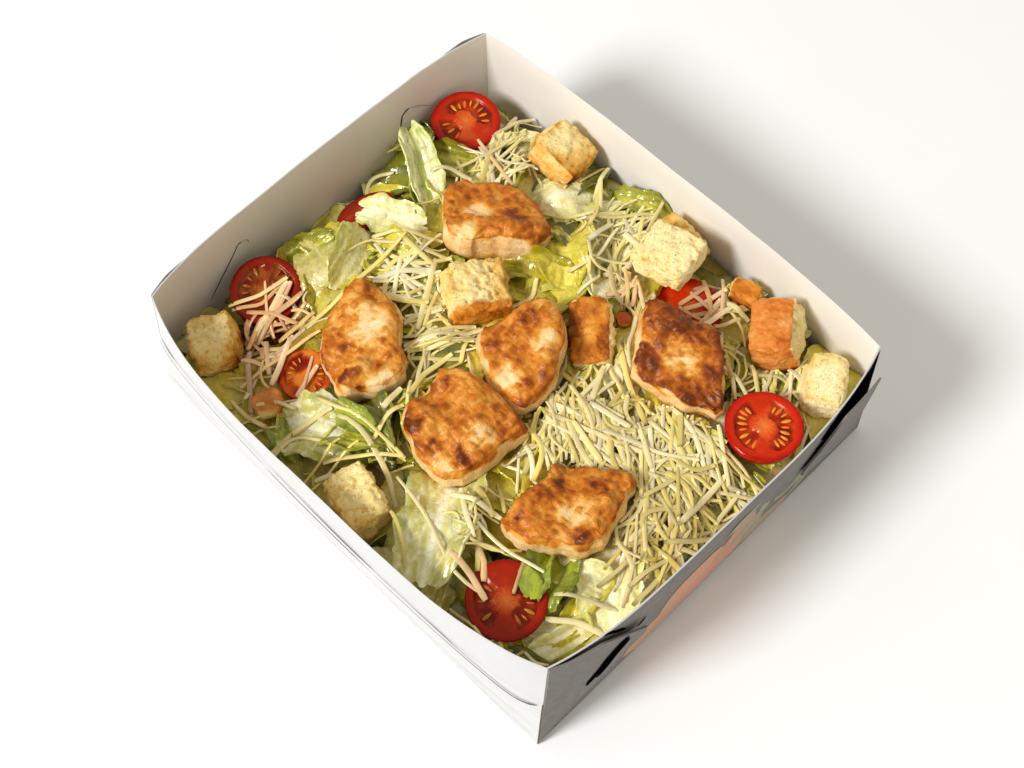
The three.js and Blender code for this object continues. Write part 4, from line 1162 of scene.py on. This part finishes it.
def leaf_colours(kind, vein, edge, plane, seed):
    """The blade in patches, greener at the edge, with its veins in the kind's second colour."""
    blade, rib = (np.array(colour) for colour in LEAF_COLOURS[kind])
    tone = np.clip(0.5 + 0.7 * fractal(plane, 9, 3, seed + 9), 0, 1)
    greener = linear(blade * LEAF_EDGE)
    paler = linear(np.minimum(blade * 0.55 + np.array(LEAF_PALE) * 0.45, 250))
    base = blend(np.broadcast_to(paler, (len(tone), 3)), linear(blade), tone)
    base = blend(base, greener, smoothstep(0.55, 1.0, edge) * 0.55)
    return blend(base, linear(rib), vein * 0.9) * LEAF_WARMTH


def pressed(points, toppings, beneath):
    """A leaf's points kept inside the walls and under every topping but `beneath`, which it lies over."""
    points = points.copy()
    points[:, 2] = np.clip(points[:, 2], BOARD + 1, HEIGHT - 3)
    points = within_walls(points, LEAF_GAP)
    for i, (x, y, z) in enumerate(points):
        lowest = toppings.lowest(x, y, beneath)
        if lowest is not None and z > lowest - LEAF_GAP:
            points[i, 2] = lowest - LEAF_GAP
        top = toppings.top_of(beneath, x, y) if beneath else None
        if top is not None:
            points[i, 2] = max(z, top + 0.8)
    return within_walls(points, LEAF_GAP)


def add_leaf(bundle, spec, seed, rows, columns, toppings, beneath=None):
    x, y, lift, length, width, turn, pitch, roll, arch, fold, ruffle, kind = spec
    points, vein, edge = leaf_form(length, width, arch, fold, ruffle, seed, rows, columns)
    plane = points + (0, 0, seed * 31.0)
    points = points @ turn_matrix((roll, -pitch, turn)).T + (x, y, float(heap_height(x, y)) + lift)
    surface = pressed(points, toppings, beneath).reshape(rows, columns, 3)
    points, faces = thicken(surface, LEAF_THICKNESS * (1 + 0.6 * vein))
    colours = leaf_colours(kind, vein, edge, plane, seed)
    bundle.add(points, faces, juiced_and_shaded(points, np.concatenate([colours, colours])))


def filler_leaf(x, y, rng):
    """A random small leaf for the bed between the ones that show."""
    choice = rng.random() * (len(FILLER_KINDS) if cheese_density(x, y) < 3 else 4)
    length = rng.uniform(*FILLER["length"])
    return (x, y, -FILLER["sunk"] + rng.uniform(-2, 1.5), length, length * rng.uniform(0.35, 0.65),
            rng.uniform(0, 360), rng.uniform(-12, 12), rng.uniform(-25, 25), rng.uniform(0.05, 0.4),
            rng.uniform(0.1, 0.5), rng.uniform(0.6, 1.8), FILLER_KINDS[int(choice)])


def make_lettuce(material, toppings, rng):
    shown = Bundle()
    for i, spec in enumerate(LEAVES):
        add_leaf(shown, spec, 100 + i, *LEAF_GRID, toppings, LEAF_OVER.get(i))
    dress(shown.piece("lettuce_leaves", [material], sharp_angle=60))
    below = Bundle()
    places = itertools.product(np.arange(-94, 96, FILLER["pitch"]), np.arange(-82, 84, FILLER["pitch"]))
    for seed, (gx, gy) in enumerate(places, 301):
        spec = filler_leaf(gx + rng.uniform(-5, 5), gy + rng.uniform(-5, 5), rng)
        add_leaf(below, spec, seed, *FILLER["grid"], toppings)
    dress(below.piece("lettuce_shreds", [material], sharp_angle=60))
    points = np.concatenate(shown.points + below.points)
    faces = shown.face_arrays() + [part + shown.count for part in below.face_arrays()]
    return points, faces


# ---- grated cheese ----

class Terrain:
    """Heights of what the cheese falls on, and where it can't lie, in square cells."""

    CELL = 0.8
    LOW = np.array((-114.0, -102.0))
    SIZE = (286, 256)
    # How high cheese may pile, the height at which the walls' inner outline is taken, and the gap to it.
    PILE = 8.0
    WALL_LEVEL = 46.0
    GAP = 1.2

    def __init__(self, ground, toppings):
        nx, ny = self.SIZE
        self.height = np.zeros((nx, ny))
        self.topping = np.full((nx, ny), -1)
        i, j = np.meshgrid(np.arange(nx), np.arange(ny), indexing="ij")
        spots = self.LOW + (np.stack([i.ravel(), j.ravel()], 1) + 0.5) * self.CELL
        spots = np.concatenate([spots, np.full((len(spots), 1), self.WALL_LEVEL)], 1)
        moved = np.abs(within_walls(spots, self.GAP) - spots)
        self.inside = np.all(moved < 1e-6, 1).reshape(nx, ny)
        spots = spots.reshape(nx, ny, 3)
        for i, j in np.argwhere(self.inside):
            self.measure(i, j, *spots[i, j, :2], ground, toppings)
        self.blocked = (self.topping >= 0) & ~np.isin(self.topping, toppings.crossable)
        self.bare = self.topping < 0
        self.ceiling = self.height + self.PILE

    def measure(self, i, j, x, y, ground, toppings):
        hit = ground.ray_cast(Vector((x, y, HIGH)), Vector((0, 0, -1)))[0]
        self.height[i, j] = hit.z if hit else 0
        found = toppings.highest(x, y)
        if found and found[1] > self.height[i, j]:
            self.topping[i, j] = found[0]
            if found[0] in toppings.crossable:
                self.height[i, j] = found[1]

    def cells(self, points):
        index = ((points[:, :2] - self.LOW) / self.CELL).astype(int)
        return np.clip(index[:, 0], 1, self.SIZE[0] - 2), np.clip(index[:, 1], 1, self.SIZE[1] - 2)

    def free(self, points, over_tomato):
        i, j = self.cells(points)
        return self.inside[i, j] & ~self.blocked[i, j] & (self.bare[i, j] | over_tomato)

    def level(self, points):
        """The highest of each point's cell and the four beside it."""
        i, j = self.cells(points)
        return np.max([self.height[i + a, j + b] for a, b in ((0, 0), (1, 0), (-1, 0), (0, 1), (0, -1))], 0)

    def bury(self, points, rise):
        i, j = self.cells(points)
        np.maximum.at(self.height, (i, j), np.minimum(points[:, 2] + rise, self.ceiling[i, j]))


def free_stretch(line, free):
    """The part of a line round its middle that is free, or None where that is too short."""
    first = last = len(line) // 2
    if not free[first]:
        return None
    while first > 0 and free[first - 1]:
        first -= 1
    while last < len(line) - 1 and free[last + 1]:
        last += 1
    too_short = np.linalg.norm(line[last] - line[first]) < SHORTEST_SHRED
    return None if too_short else line[first:last + 1]


def draped(line, terrain):
    """A shred's middle line laid on the terrain, stiff enough to bridge small dips."""
    step = np.linalg.norm(line[1] - line[0])
    base = terrain.level(line) + 0.1
    z = base.copy()
    for _ in range(24):
        z[1:-1] = np.maximum(base[1:-1], 0.5 * (z[:-2] + z[2:]) - 0.02 * step * step)
        z[0] = max(base[0], z[1] - 0.5 * step)
        z[-1] = max(base[-1], z[-2] - 0.5 * step)
    return np.concatenate([line, softened(z)[:, None]], 1)


# A shred's section, in halves of its width and thickness.
SHRED_SECTION = ((-1, 0), (-0.72, 0.8), (0.72, 0.8), (1, 0), (0.72, -0.8), (-0.72, -0.8))


def strip_mesh(path, width, thickness, seed):
    """A shred of rounded, flat section along a path, a little uneven and blunt at its ends."""
    count = len(path)
    corners = len(SHRED_SECTION)
    tangent = np.gradient(path, axis=0)
    tangent /= np.linalg.norm(tangent, axis=1)[:, None]
    side = np.cross(tangent, (0, 0, 1.0))
    side /= np.linalg.norm(side, axis=1)[:, None]
    up = np.cross(side, tangent)
    taper = 1 + 0.1 * noise(path + seed, 9, 3)
    taper[[0, -1]] *= 0.75
    lean = 0.5 * noise(path[:1] + seed, 3, 4)[0]
    wide = side * math.cos(lean) + up * math.sin(lean)
    high = np.cross(wide, tangent)
    rings = [path + wide * (a * width / 2 * taper)[:, None] + high * (b * thickness / 2 * taper)[:, None]
             for a, b in SHRED_SECTION]
    first = np.array([[0, 1, 2, 3], [0, 3, 4, 5]])
    last = (first + (count - 1) * corners)[:, ::-1]
    return np.stack(rings, 1).reshape(-1, 3), [grid_faces(count, corners, wrap=True), first, last]


def shred_colour(rng, pink):
    """One shred's colour: ivory to straw, some glassy, stained where juice reached it."""
    ivory, straw, clear = (np.array(tone, float) for tone in CHEESE_TONES)
    colour = ivory + (straw - ivory) * rng.random() * 0.9 + (clear - straw) * 0.6 * rng.random()
    keep, pinkness = CHEESE_PINK
    stained = colour * keep + pinkness
    shade = 1 - 0.14 * rng.random() ** 2
    return linear(np.clip(colour + (stained - colour) * min(pink, 1), 0, 255) * shade)


def cheese_density(x, y):
    """Shreds in each square centimetre."""
    heaps = sum(w * np.exp(-((x - cx) / rx) ** 2 - ((y - cy) / ry) ** 2) for cx, cy, rx, ry, w in CHEESE)
    return max(CHEESE_BASE + heaps * (CHEESE_LOAD if heaps > 0 else 1), 0.06)


def cheese_direction(x, y, rng):
    """The way that the nearest flows point, with some scatter. Opposite ways count as the same."""
    weights = np.array([1 / ((x - cx) ** 2 + (y - cy) ** 2 + 60) ** 1.5 for cx, cy, _ in CHEESE_FLOW])
    doubled = np.radians([2 * turn for _, _, turn in CHEESE_FLOW])
    along = math.atan2(weights @ np.sin(doubled), weights @ np.cos(doubled)) / 2
    return along + rng.normal() * CHEESE_SCATTER


def curved_line(centre, turn, length, bend):
    """A gently bent line of even steps round `centre`."""
    s = np.linspace(-0.5, 0.5, LINE_POINTS)
    angle = turn + bend * s + 0.5 * bend * np.sin(6 * s)
    walk = np.stack([np.cos(angle), np.sin(angle)], 1) * length / (LINE_POINTS - 1)
    line = np.concatenate([[[0, 0]], np.cumsum(walk[:-1], 0)])
    return line - line[LINE_POINTS // 2] + centre


def cheese_spots(rng, share):
    """Places for shreds, as thick on the ground as the density says, each with its direction and stain."""
    peak = max(cheese_density(x, y) for x, y, _, _, _ in CHEESE)
    reach_x, reach_y = CHEESE_FIELD
    for _ in range(int(reach_x * reach_y * 4 / 100 * peak * share)):
        x, y = rng.uniform(-reach_x, reach_x), rng.uniform(-reach_y, reach_y)
        if rng.random() * peak > cheese_density(x, y):
            continue
        pink = max(hill(x, y, *stain) for stain in CHEESE_STAINS)
        yield np.array((x, y)), cheese_direction(x, y, rng), pink * rng.uniform(0.3, 1.3)


def dimmed(x, y):
    """What the darker patches leave of red, green and blue; the one by the near right wall is painted shade.
    """
    left = np.ones(3)
    for at_x, at_y, reach, lost in CHEESE_DIMMED:
        left -= np.array(lost) * hill(x, y, at_x, at_y, reach)
    return left


class Cheese:
    """Shreds laid one by one on the terrain, each burying what lies under it."""

    def __init__(self, terrain, rng):
        self.bundle = Bundle()
        self.terrain = terrain
        self.rng = rng

    def lay(self, line, pink, size, over_tomato=False, grow=1.0):
        line = free_stretch(line, self.terrain.free(line, over_tomato))
        if line is None:
            return
        path = draped(resample(line, size["stations"]), self.terrain)
        width = self.rng.uniform(*size["width"]) * grow
        seed = self.rng.uniform(0, 400)
        thickness = min(CHEESE_SIZE["thickness"] * self.rng.uniform(0.8, 1.1), 0.7 * width)
        points, faces = strip_mesh(path, width, thickness, seed)
        tone = np.clip(1 + 0.12 * noise(points * (1, 1, 3) + seed, 4, 4), 0.7, 1.12)
        # Darker in patches, by the near right wall as painted shade.
        colour = shred_colour(self.rng, pink) * dimmed(*path[:, :2].mean(0))
        self.bundle.add(points, faces, np.minimum(colour * tone[:, None], 0.98))
        self.terrain.bury(resample(path, 48), 0.15)


def strand_points(kind, places):
    """A strand's points in whole millimetres, wherever they were read."""
    if kind == "mm":
        return np.array(places, float).reshape(-1, 2)
    if kind == "spots":
        spots = np.array(places, float).reshape(-1, 3)
        return np.rint(np.round([seen_at(*spot) for spot in spots], 1))
    left, top, zoom = CUTS[kind]
    spots = np.array(places, float).reshape(-1, 2)
    return np.rint([seen_at(left + x / zoom, top + y / zoom, STRAND_HEIGHT) for x, y in spots])


def make_cheese(material, terrain, rng):
    cheese = Cheese(terrain, rng)
    for size, share in ((CHEESE_FINE, CHEESE_FINE_SHARE), (CHEESE_SIZE, 1.0)):
        for spot, turn, pink in cheese_spots(rng, share):
            line = curved_line(spot, turn, rng.uniform(*size["length"]), rng.normal() * 0.5)
            cheese.lay(line, pink, size)
    for kind, rows in STRANDS:
        for pink, *places in rows:
            line = softened(resample(strand_points(kind, places), LINE_POINTS))
            cheese.lay(line, pink, CHEESE_SIZE, True, STRAND_GROWTH)
    dress(cheese.bundle.piece("cheese_shreds", [material]))


# ---- chicken and croutons ----

def remeshed(node, voxel_mm, smooth_steps):
    """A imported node's form as an even mesh with rounded edges: points and normals in mm, and faces."""
    copy = place_object("remesh_source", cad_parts[node].data.copy())
    voxels = copy.modifiers.new("voxels", "REMESH")
    voxels.mode = "VOXEL"
    voxels.voxel_size = voxel_mm * MM
    softer = copy.modifiers.new("softer", "SMOOTH")
    softer.factor = 0.5
    softer.iterations = smooth_steps
    mesh = bpy.data.meshes.new_from_object(copy.evaluated_get(bpy.context.evaluated_depsgraph_get()))
    points, normals = (np.zeros(len(mesh.vertices) * 3, np.float32) for _ in range(2))
    corners = np.zeros(len(mesh.loops), np.int32)
    mesh.vertices.foreach_get("co", points)
    mesh.vertices.foreach_get("normal", normals)
    mesh.loops.foreach_get("vertex_index", corners)
    bpy.data.objects.remove(copy)
    points = (points.reshape(-1, 3) / MM).astype(float)
    return points, normals.reshape(-1, 3).astype(float), corners.reshape(-1, 4)


def billow(points, size, seed):
    """Rounded bumps with creases between them, from 0 to about 1."""
    return np.abs(noise(points, size, seed)) * 1.6


def chicken_sear(index, local, up, bumps, fibre, seed):
    """How browned the top is: patchy, darkest on high spots and the rim, pale where it lay off the pan."""
    sear = 0.45 + 0.3 * fractal(local, 8, 4, seed + 3) + 0.3 * (bumps - BUMPS_MIDDLE)
    warp = local[:, :2] + 2.0 * np.stack([noise(local, 4, seed + 4), noise(local, 4, seed + 5)], 1)
    spots = 0.45 + 1.1 * np.clip(fractal(local, 2.4, 2, seed + 10) + 0.3, 0, 1)
    for x, y, radius, browner in CHICKEN_PATCHES[index]:
        share = 1 - smoothstep(0.3, 1.35, np.hypot(warp[:, 0] - x, warp[:, 1] - y) / radius)
        sear += browner * share * (spots if browner > 0 else 0.85 + 0.5 * fibre)
    return sear + 0.14 * np.exp(-((up - 0.55) / 0.22) ** 2) + CHICKEN_BROWNER[index]


def chicken_relief(index, local, bumps, fibre, crusty, seed):
    """How far each point moves out: lumps, sear bumps or fibres, and the notches."""
    push = layered(local * (1, 1, 0.35), seed, CHICKEN_LUMPS)
    push += (1.2 * (bumps - BUMPS_MIDDLE)) * crusty + (0.32 * fibre) * (1 - crusty)
    for x, y, radius, depth in CHICKEN_NOTCHES[index]:
        push -= depth * hill(local[:, 0], local[:, 1], x, y, radius)
    return push


def make_chicken(index, material):
    """A seared chunk: browned and bumpy on top, pale and fibrous down its sides."""
    name = f"chicken_{index + 1}"
    points, normals, faces = remeshed(name, 0.65, 4)
    local = points - CHICKEN_AT[index]
    up = normals[:, 2]
    seed = 40 + 11 * index
    top = smoothstep(0.2, 0.55, up + 0.25 * noise(local, 5, seed))
    bumps = 0.55 * billow(local, 3.0, seed + 1) + 0.45 * billow(local, 1.6, seed + 2)
    fibre = fractal(local @ turn_matrix((0, 0, 57 * index)), (8, 1.2, 1.4), 3, seed + 6)
    sear = chicken_sear(index, local, up, bumps, fibre, seed)
    side = 0.16 + 0.16 * fractal(local, 7, 3, seed + 7) + 0.14 * fibre
    side += 0.3 * (1 - np.clip((local[:, 2] - local[:, 2].min()) / 7, 0, 1))
    tone = np.clip(side + (sear - side) * top, 0, 1.05)
    crusty = smoothstep(0.25, 0.45, tone) * top
    points = points + normals * chicken_relief(index, local, bumps, fibre, crusty, seed)[:, None]
    points[:, 2] = np.maximum(points[:, 2], BOARD + 1)
    piece = add_piece(f"{name}_meat", points, [faces], [material], ramp(tone, CHICKEN_TONES))
    dress(piece, [name])


class Crouton:
    """One crouton's surface, and what its relief and colours are worked out from."""

    def __init__(self, index):
        self.index = index
        self.at, turns, self.toast, self.crusts = CROUTONS[index]
        self.seed = 200 + 13 * index
        self.points, self.normals, self.faces = remeshed(f"crouton_{index + 1}", 0.6, 2)
        spin = turn_matrix(turns)
        self.local = (self.points - self.at) @ spin
        self.facing = self.normals @ spin
        middling = np.sort(np.abs(self.local) / np.abs(self.local).max(0), 1)[:, 1]
        self.rim = smoothstep(0.66, 1.0, middling)
        self.creases = 1 - smoothstep(0.0, 0.16, np.abs(fractal(self.local, (6, 4, 5), 3, self.seed + 5)))

    def crust(self):
        """How much of each point is crust. Its border is ragged."""
        ragged = layered(self.local, self.seed, CRUST_BORDER)
        crust = np.zeros(len(self.points))
        for direction in self.crusts:
            way = np.array(direction, float)
            high = self.local @ way / (self.local @ way).max()
            creep = CRUST_CREEP.get(self.index, 0.0) * smoothstep(0.45, 1.0, high)
            crust = np.maximum(crust, smoothstep(0.3, 0.85, self.facing @ way + ragged + creep))
        return crust

    def pores(self):
        """Small open pores and a few larger holes."""
        small = smoothstep(0.25, 0.7, noise(self.local, 1.6, self.seed + 1))
        return small + 0.9 * smoothstep(0.3, 0.8, noise(self.local, 3.0, self.seed))

    def relief(self, crust, pores):
        """How far each point moves out: torn, pitted crumb with chipped edges, or creased crust."""
        crumbs = layered(self.local, self.seed, CRUMB_RELIEF)
        chipped = self.rim * np.clip(0.3 + 0.9 * noise(self.local, 3.6, self.seed + 4), 0, 1.4)
        torn = CRUMB_ROUGHNESS.get(self.index, 1.0) * (crumbs - 0.85 * pores) - 1.3 * chipped
        push = 0.5 * noise(self.local, 9, self.seed + 6) + torn * (1 - crust)
        return push + layered(self.local, self.seed, CRUST_RELIEF, -0.42 * self.creases) * crust

    def toasted(self, patchy):
        """What the sides that are toasted more add, with painted shade on one side of the first crouton."""
        total = np.zeros(len(self.points))
        for way, much in CROUTON_TOASTS_AND_SHADE[self.index]:
            near = smoothstep(0.1, 1.0, (self.points - self.at) @ np.array(way, float) / 12)
            total += much * near * (0.5 + 0.5 * patchy)
        return total

    def colours(self, crust, pores):
        patchy = np.clip(0.55 + 0.8 * noise(self.local, 5, self.seed + 11), 0, 1.2)
        low = 1 - np.clip((self.points[:, 2] - self.points[:, 2].min()) / 9, 0, 1)
        toasted = self.toasted(patchy)
        tone = layered(self.local, self.seed, CRUMB_TOAST, self.toast * 0.6)
        tone += 0.44 * self.rim * patchy + 0.16 * np.clip(pores, 0, 1.4) - 0.2
        tone += (0.25 + 0.5 * self.toast) * low * (0.3 + 0.7 * self.rim)
        browner, below = CRUST_BROWNER.get(self.index, (0.0, 0.2))
        brown = layered(self.local, self.seed, CRUST_TOAST, 0.32 + browner)
        brown = brown + 0.16 * self.creases + 0.15 * self.rim + below * low
        crust_tones = ORANGE_CRUST_TONES if self.index in ORANGE_CRUSTS else CRUST_TONES
        colours = blend(ramp(tone + toasted, CRUMB_TONES), ramp(brown + 0.7 * toasted, crust_tones), crust)
        return colours * CROUTON_SHADES[self.index]


def make_crouton(index, materials):
    name = f"crouton_{index + 1}"
    bread = Crouton(index)
    crust, pores = bread.crust(), bread.pores()
    bread.points = bread.points + bread.normals * bread.relief(crust, pores)[:, None]
    piece = add_piece(f"{name}_bread", bread.points, [bread.faces], materials, bread.colours(crust, pores),
                      material_index=crust[bread.faces].mean(1) > 0.6)
    dress(piece, [name])


# ---- tomatoes ----

def seed_bit(centre, turn, length, width, height):
    """One tomato seed: a flat egg shape, pointed towards the middle."""
    rings, around = 5, 8
    a, b = np.meshgrid(np.linspace(0.15, np.pi - 0.15, rings), circle(around), indexing="ij")
    x = -np.cos(a) * length / 2
    slim = np.sin(a) * (1 - 0.25 * np.cos(a))
    y = slim * np.cos(b) * width / 2
    z = slim * np.sin(b) * height / 2
    c, s = math.cos(turn), math.sin(turn)
    points = np.stack([x * c - y * s, x * s + y * c, z], -1).reshape(-1, 3) + centre
    ends = np.array([centre + np.array((k * length / 2 * c, k * length / 2 * s, 0)) for k in (-1, 1)])
    faces = grid_faces(rings, around, wrap=True)
    caps = np.concatenate([fan(rings * around, np.arange(around)),
                           fan(rings * around + 1, np.arange(around) + (rings - 1) * around, flip=True)])
    return np.concatenate([points, ends]), [faces[:, ::-1], caps[:, ::-1]]


def chamber_share(r, t, wobble, chambers):
    """How much of each point of the cut face is seed chamber."""
    wet = np.zeros(r.shape)
    deep = smoothstep(0.27, 0.36, r + wobble) * (1 - smoothstep(0.73, 0.8, r + 0.3 * wobble))
    for middle, width, _ in chambers:
        off = np.abs((t - math.radians(middle) + np.pi) % (2 * np.pi) - np.pi) + wobble
        wide = 1 - smoothstep(math.radians(width / 2) - 0.16, math.radians(width / 2) + 0.06, off)
        wet = np.maximum(wet, wide * deep)
    return wet


def cut_colours(flat, r, t, wet, wobble, seed, jelly):
    """Flesh with a pale streaked core and cloudy patches, wet gel in the chambers, and spread jelly."""
    streak = 0.5 + 0.5 * np.sin(t * 13 + 4 * noise(flat, 4, seed + 1))
    cloud = smoothstep(0.0, 0.8, noise(flat, 3.2, seed + 2))
    pale = linear(TOMATO_PALE)
    flesh = blend(ramp(r, TOMATO_FLESH), pale, 0.4 * streak ** 2 * (1 - smoothstep(0.12, 0.42, r)))
    flesh = blend(flesh, pale, 0.22 * cloud * (1 - smoothstep(0.6, 0.85, r)))
    gel = ramp(0.45 + 0.55 * noise(flat, 2.4, seed + 3), TOMATO_GEL)
    spread = ramp(0.5 + 0.9 * noise(flat, 3.4, seed + 5), TOMATO_JELLY_TONES)
    reach = 1 - smoothstep(0.3 + 0.55 * jelly, 0.6 + 0.6 * jelly, r + wobble)
    return blend(blend(flesh, gel, wet * 0.9), spread, jelly * reach)


def tomato_top(bundle, radius, chambers, seed, shade, jelly):
    """The cut face, sunken at its seed chambers."""
    rings, around = TOMATO_RINGS, TOMATO_AROUND
    grid = np.meshgrid(np.linspace(0.02, 0.975, rings), circle(around), indexing="ij")
    r, t = (values.ravel() for values in grid)
    flat = np.stack([r * np.cos(t) * radius, r * np.sin(t) * radius, np.zeros_like(r)], 1)
    wobble = 0.12 * noise(flat, 2.5, seed)
    wet = chamber_share(r, t, wobble, chambers)
    colours = cut_colours(flat, r, t, wet, wobble, seed, jelly) * shade
    flat[:, 2] = -0.9 * wet + 0.22 * noise(flat, 3, seed + 4) + 0.1 * np.exp(-((r - 0.9) / 0.05) ** 2)
    bundle.add(np.concatenate([flat, [[0, 0, 0.05]]]),
               [grid_faces(rings, around, wrap=True), fan(len(flat), np.arange(around))],
               np.concatenate([colours, colours[:1]]))


def tomato_skin(bundle, radius, depth, shade, jelly):
    """The round skin below the cut, rolled over at its edge."""
    around = TOMATO_AROUND
    angle = circle(around)
    tilt = np.linspace(0, 1, 15)[:, None] * np.pi / 2 * 0.985
    ring_r = np.concatenate([[[0.975]], [[0.992]], np.cos(tilt) ** 0.85])
    ring_z = np.concatenate([[[0.0]], [[-0.012]], -np.sin(tilt) ** 1.1 - 0.02])
    level = np.broadcast_to(ring_z * depth, (len(ring_r), around))
    skin = np.stack([ring_r * np.cos(angle) * radius, ring_r * np.sin(angle) * radius, level], -1)
    skin = np.concatenate([skin.reshape(-1, 3), [[0, 0, -depth * 1.02]]])
    last = (len(ring_r) - 1) * around
    faces = [grid_faces(len(ring_r), around, wrap=True)[:, ::-1],
             fan(len(skin) - 1, np.arange(around) + last, flip=True)]
    red, orange = linear(TOMATO_SKIN), linear(TOMATO_SKIN_JELLY)
    bundle.add(skin, faces, (red + (orange - red) * max(jelly - 0.6, 0) * 2.5) * shade)


def tomato_seeds(bundle, radius, chambers, index, shade):
    """Seeds set out across each chamber, none quite like its neighbour."""
    for middle, width, count in chambers:
        for k in range(count):
            spread = (k + 0.5) / count - 0.5
            angle = math.radians(middle + width * 0.92 * spread + 4 * math.sin(7 * k + index))
            place = radius * (0.57 + 0.04 * math.sin(5 * k + index))
            centre = np.array((place * math.cos(angle), place * math.sin(angle), -0.55))
            length = radius * (0.25 + 0.04 * math.sin(3 * k + 2 * index))
            points, faces = seed_bit(centre, angle, length, length * 0.36, 0.9)
            colour = linear((234 + 10 * math.sin(k * 1.7), 146 + 24 * math.sin(k * 2.1 + index), 52))
            bundle.add(points, faces, colour * shade)


def make_scrap(index, material):
    """A torn bit of tomato flesh."""
    name = f"tomato_{index + 1}"
    points, normals, faces = remeshed(name, 0.45, 3)
    pale_side = (points - points.mean(0)) @ np.array((0.7, -0.7, -0.3)) / np.ptp(points[:, 0])
    push = 1.7 * noise(points, 5, 700 + index) + 0.5 * np.abs(noise(points, 2.2, 710 + index))
    points = points + normals * push[:, None]
    tone = np.clip(0.5 + 0.7 * fractal(points, 4, 3, 720 + index), 0, 1)
    orange = np.full(len(points), SCRAPS[index])
    colours = blend(ramp(tone, SCRAP_RED), ramp(tone, SCRAP_ORANGE), orange)
    colours = blend(colours, linear(SCRAP_RIND), smoothstep(0.2, 0.4, pale_side) * orange)
    piece = add_piece(f"{name}_flesh", points, [faces], [material], colours)
    dress(piece, [name])


def make_tomato(index, material):
    """A cherry tomato half, cut face up."""
    at, across, depth, lean, dark, chambers = TOMATOES[index]
    name = f"tomato_{index + 1}"
    shade = (1 - 0.45 * dark) * np.array(TOMATO_WARMTH)
    jelly = TOMATO_JELLY.get(index, 0.0)
    bundle = Bundle()
    tomato_top(bundle, across / 2, chambers, 500 + 7 * index, shade, jelly)
    tomato_skin(bundle, across / 2, depth, shade, jelly)
    tomato_seeds(bundle, across / 2, chambers, index, shade)
    spin = turn_matrix((*lean, 0))
    bundle.points = [p @ spin.T + at for p in bundle.points]
    dress(bundle.piece(f"{name}_half", [material], sharp_angle=60), [name])


# ---- stage, camera and the whole ----

def make_floor():
    half, z = FLOOR["half"], FLOOR["z"]
    mesh = bpy.data.meshes.new("floor")
    corners = [(x * half, y * half, z) for x, y in ((-1, -1), (1, -1), (1, 1), (-1, 1))]
    mesh.from_pydata(corners, [], [(0, 1, 2, 3)])
    nodes = Nodes("pale_floor", Roughness=0.9)
    nodes.colour(nodes.mix(nodes.noise(FLOOR["cloud"]), FLOOR["light"], FLOOR["dark"]))
    mesh.materials.append(nodes.material)
    floor = place_object("floor", mesh)


def make_light():
    world = bpy.data.worlds.new("studio")
    world.use_nodes = True
    sky = world.node_tree.nodes["Background"].inputs
    sky["Color"].default_value = SKY["colour"]
    sky["Strength"].default_value = SKY["strength"]
    bpy.context.scene.world = world
    light = bpy.data.lights.new("key", "AREA")
    light.shape = "DISK"
    light.size = KEY_LIGHT["size"]
    light.energy = KEY_LIGHT["power"]
    light.color = KEY_LIGHT["colour"]
    lamp = place_object("key", light)
    lamp.location = KEY_LIGHT["place"]
    lamp.rotation_euler = (-Vector(KEY_LIGHT["place"])).to_track_quat("-Z", "Y").to_euler()
    bpy.context.scene.view_settings.view_transform = "Standard"


def make_camera():
    data = bpy.data.cameras.new("camera")
    data.sensor_width = SENSOR_MM
    data.lens = FOCAL_PX / FRAME_WIDTH_PX * SENSOR_MM
    data.clip_start = CAMERA["clip_start"]
    camera = place_object("camera", data)
    back = Vector(camera_axes()[2])
    camera.location = (Vector(CAMERA["target"]) + back * CAMERA["distance"]) * MM
    camera.rotation_euler = (-back).to_track_quat("-Z", "Y").to_euler()
    bpy.context.scene.camera = camera


def make_box():
    white = board_material("white_board", (206, 206, 205), (200, 200, 199))
    inner = board_material("inner_board", (236, 232, 224), (228, 224, 214))
    printed = board_material("grey_print", (121, 116, 111), (113, 108, 103))
    make_tray([white, inner, printed])
    make_flaps([printed])
    make_print(ink_material())
    make_painted_shade_lines(gap_material())


def make_toppings():
    meat, bread, flesh = meat_material(), [crumb_material(), crust_material()], flesh_material()
    for index in range(len(CHICKEN_AT)):
        make_chicken(index, meat)
    for index in range(len(CROUTONS)):
        make_crouton(index, bread)
    for index in range(len(TOMATOES)):
        (make_scrap if index in SCRAPS else make_tomato)(index, flesh)


def make_salad():
    """The core, the leaves over it, and the cheese that falls on both."""
    leaf, cheese = leaf_material(), cheese_material()
    toppings = Toppings()
    rng = np.random.default_rng(7)
    core_points, core_faces = make_core(leaf)
    leaf_points, leaf_faces = make_lettuce(leaf, toppings, rng)
    polygons = [tuple(face) for part in core_faces for face in part.tolist()]
    polygons += [tuple(face) for part in leaf_faces for face in (part + len(core_points)).tolist()]
    points = [tuple(p) for p in np.concatenate([core_points, leaf_points]).tolist()]
    make_cheese(cheese, Terrain(BVHTree.FromPolygons(points, polygons), toppings), rng)


make_camera()
make_floor()
make_light()
make_box()
make_toppings()
make_salad()
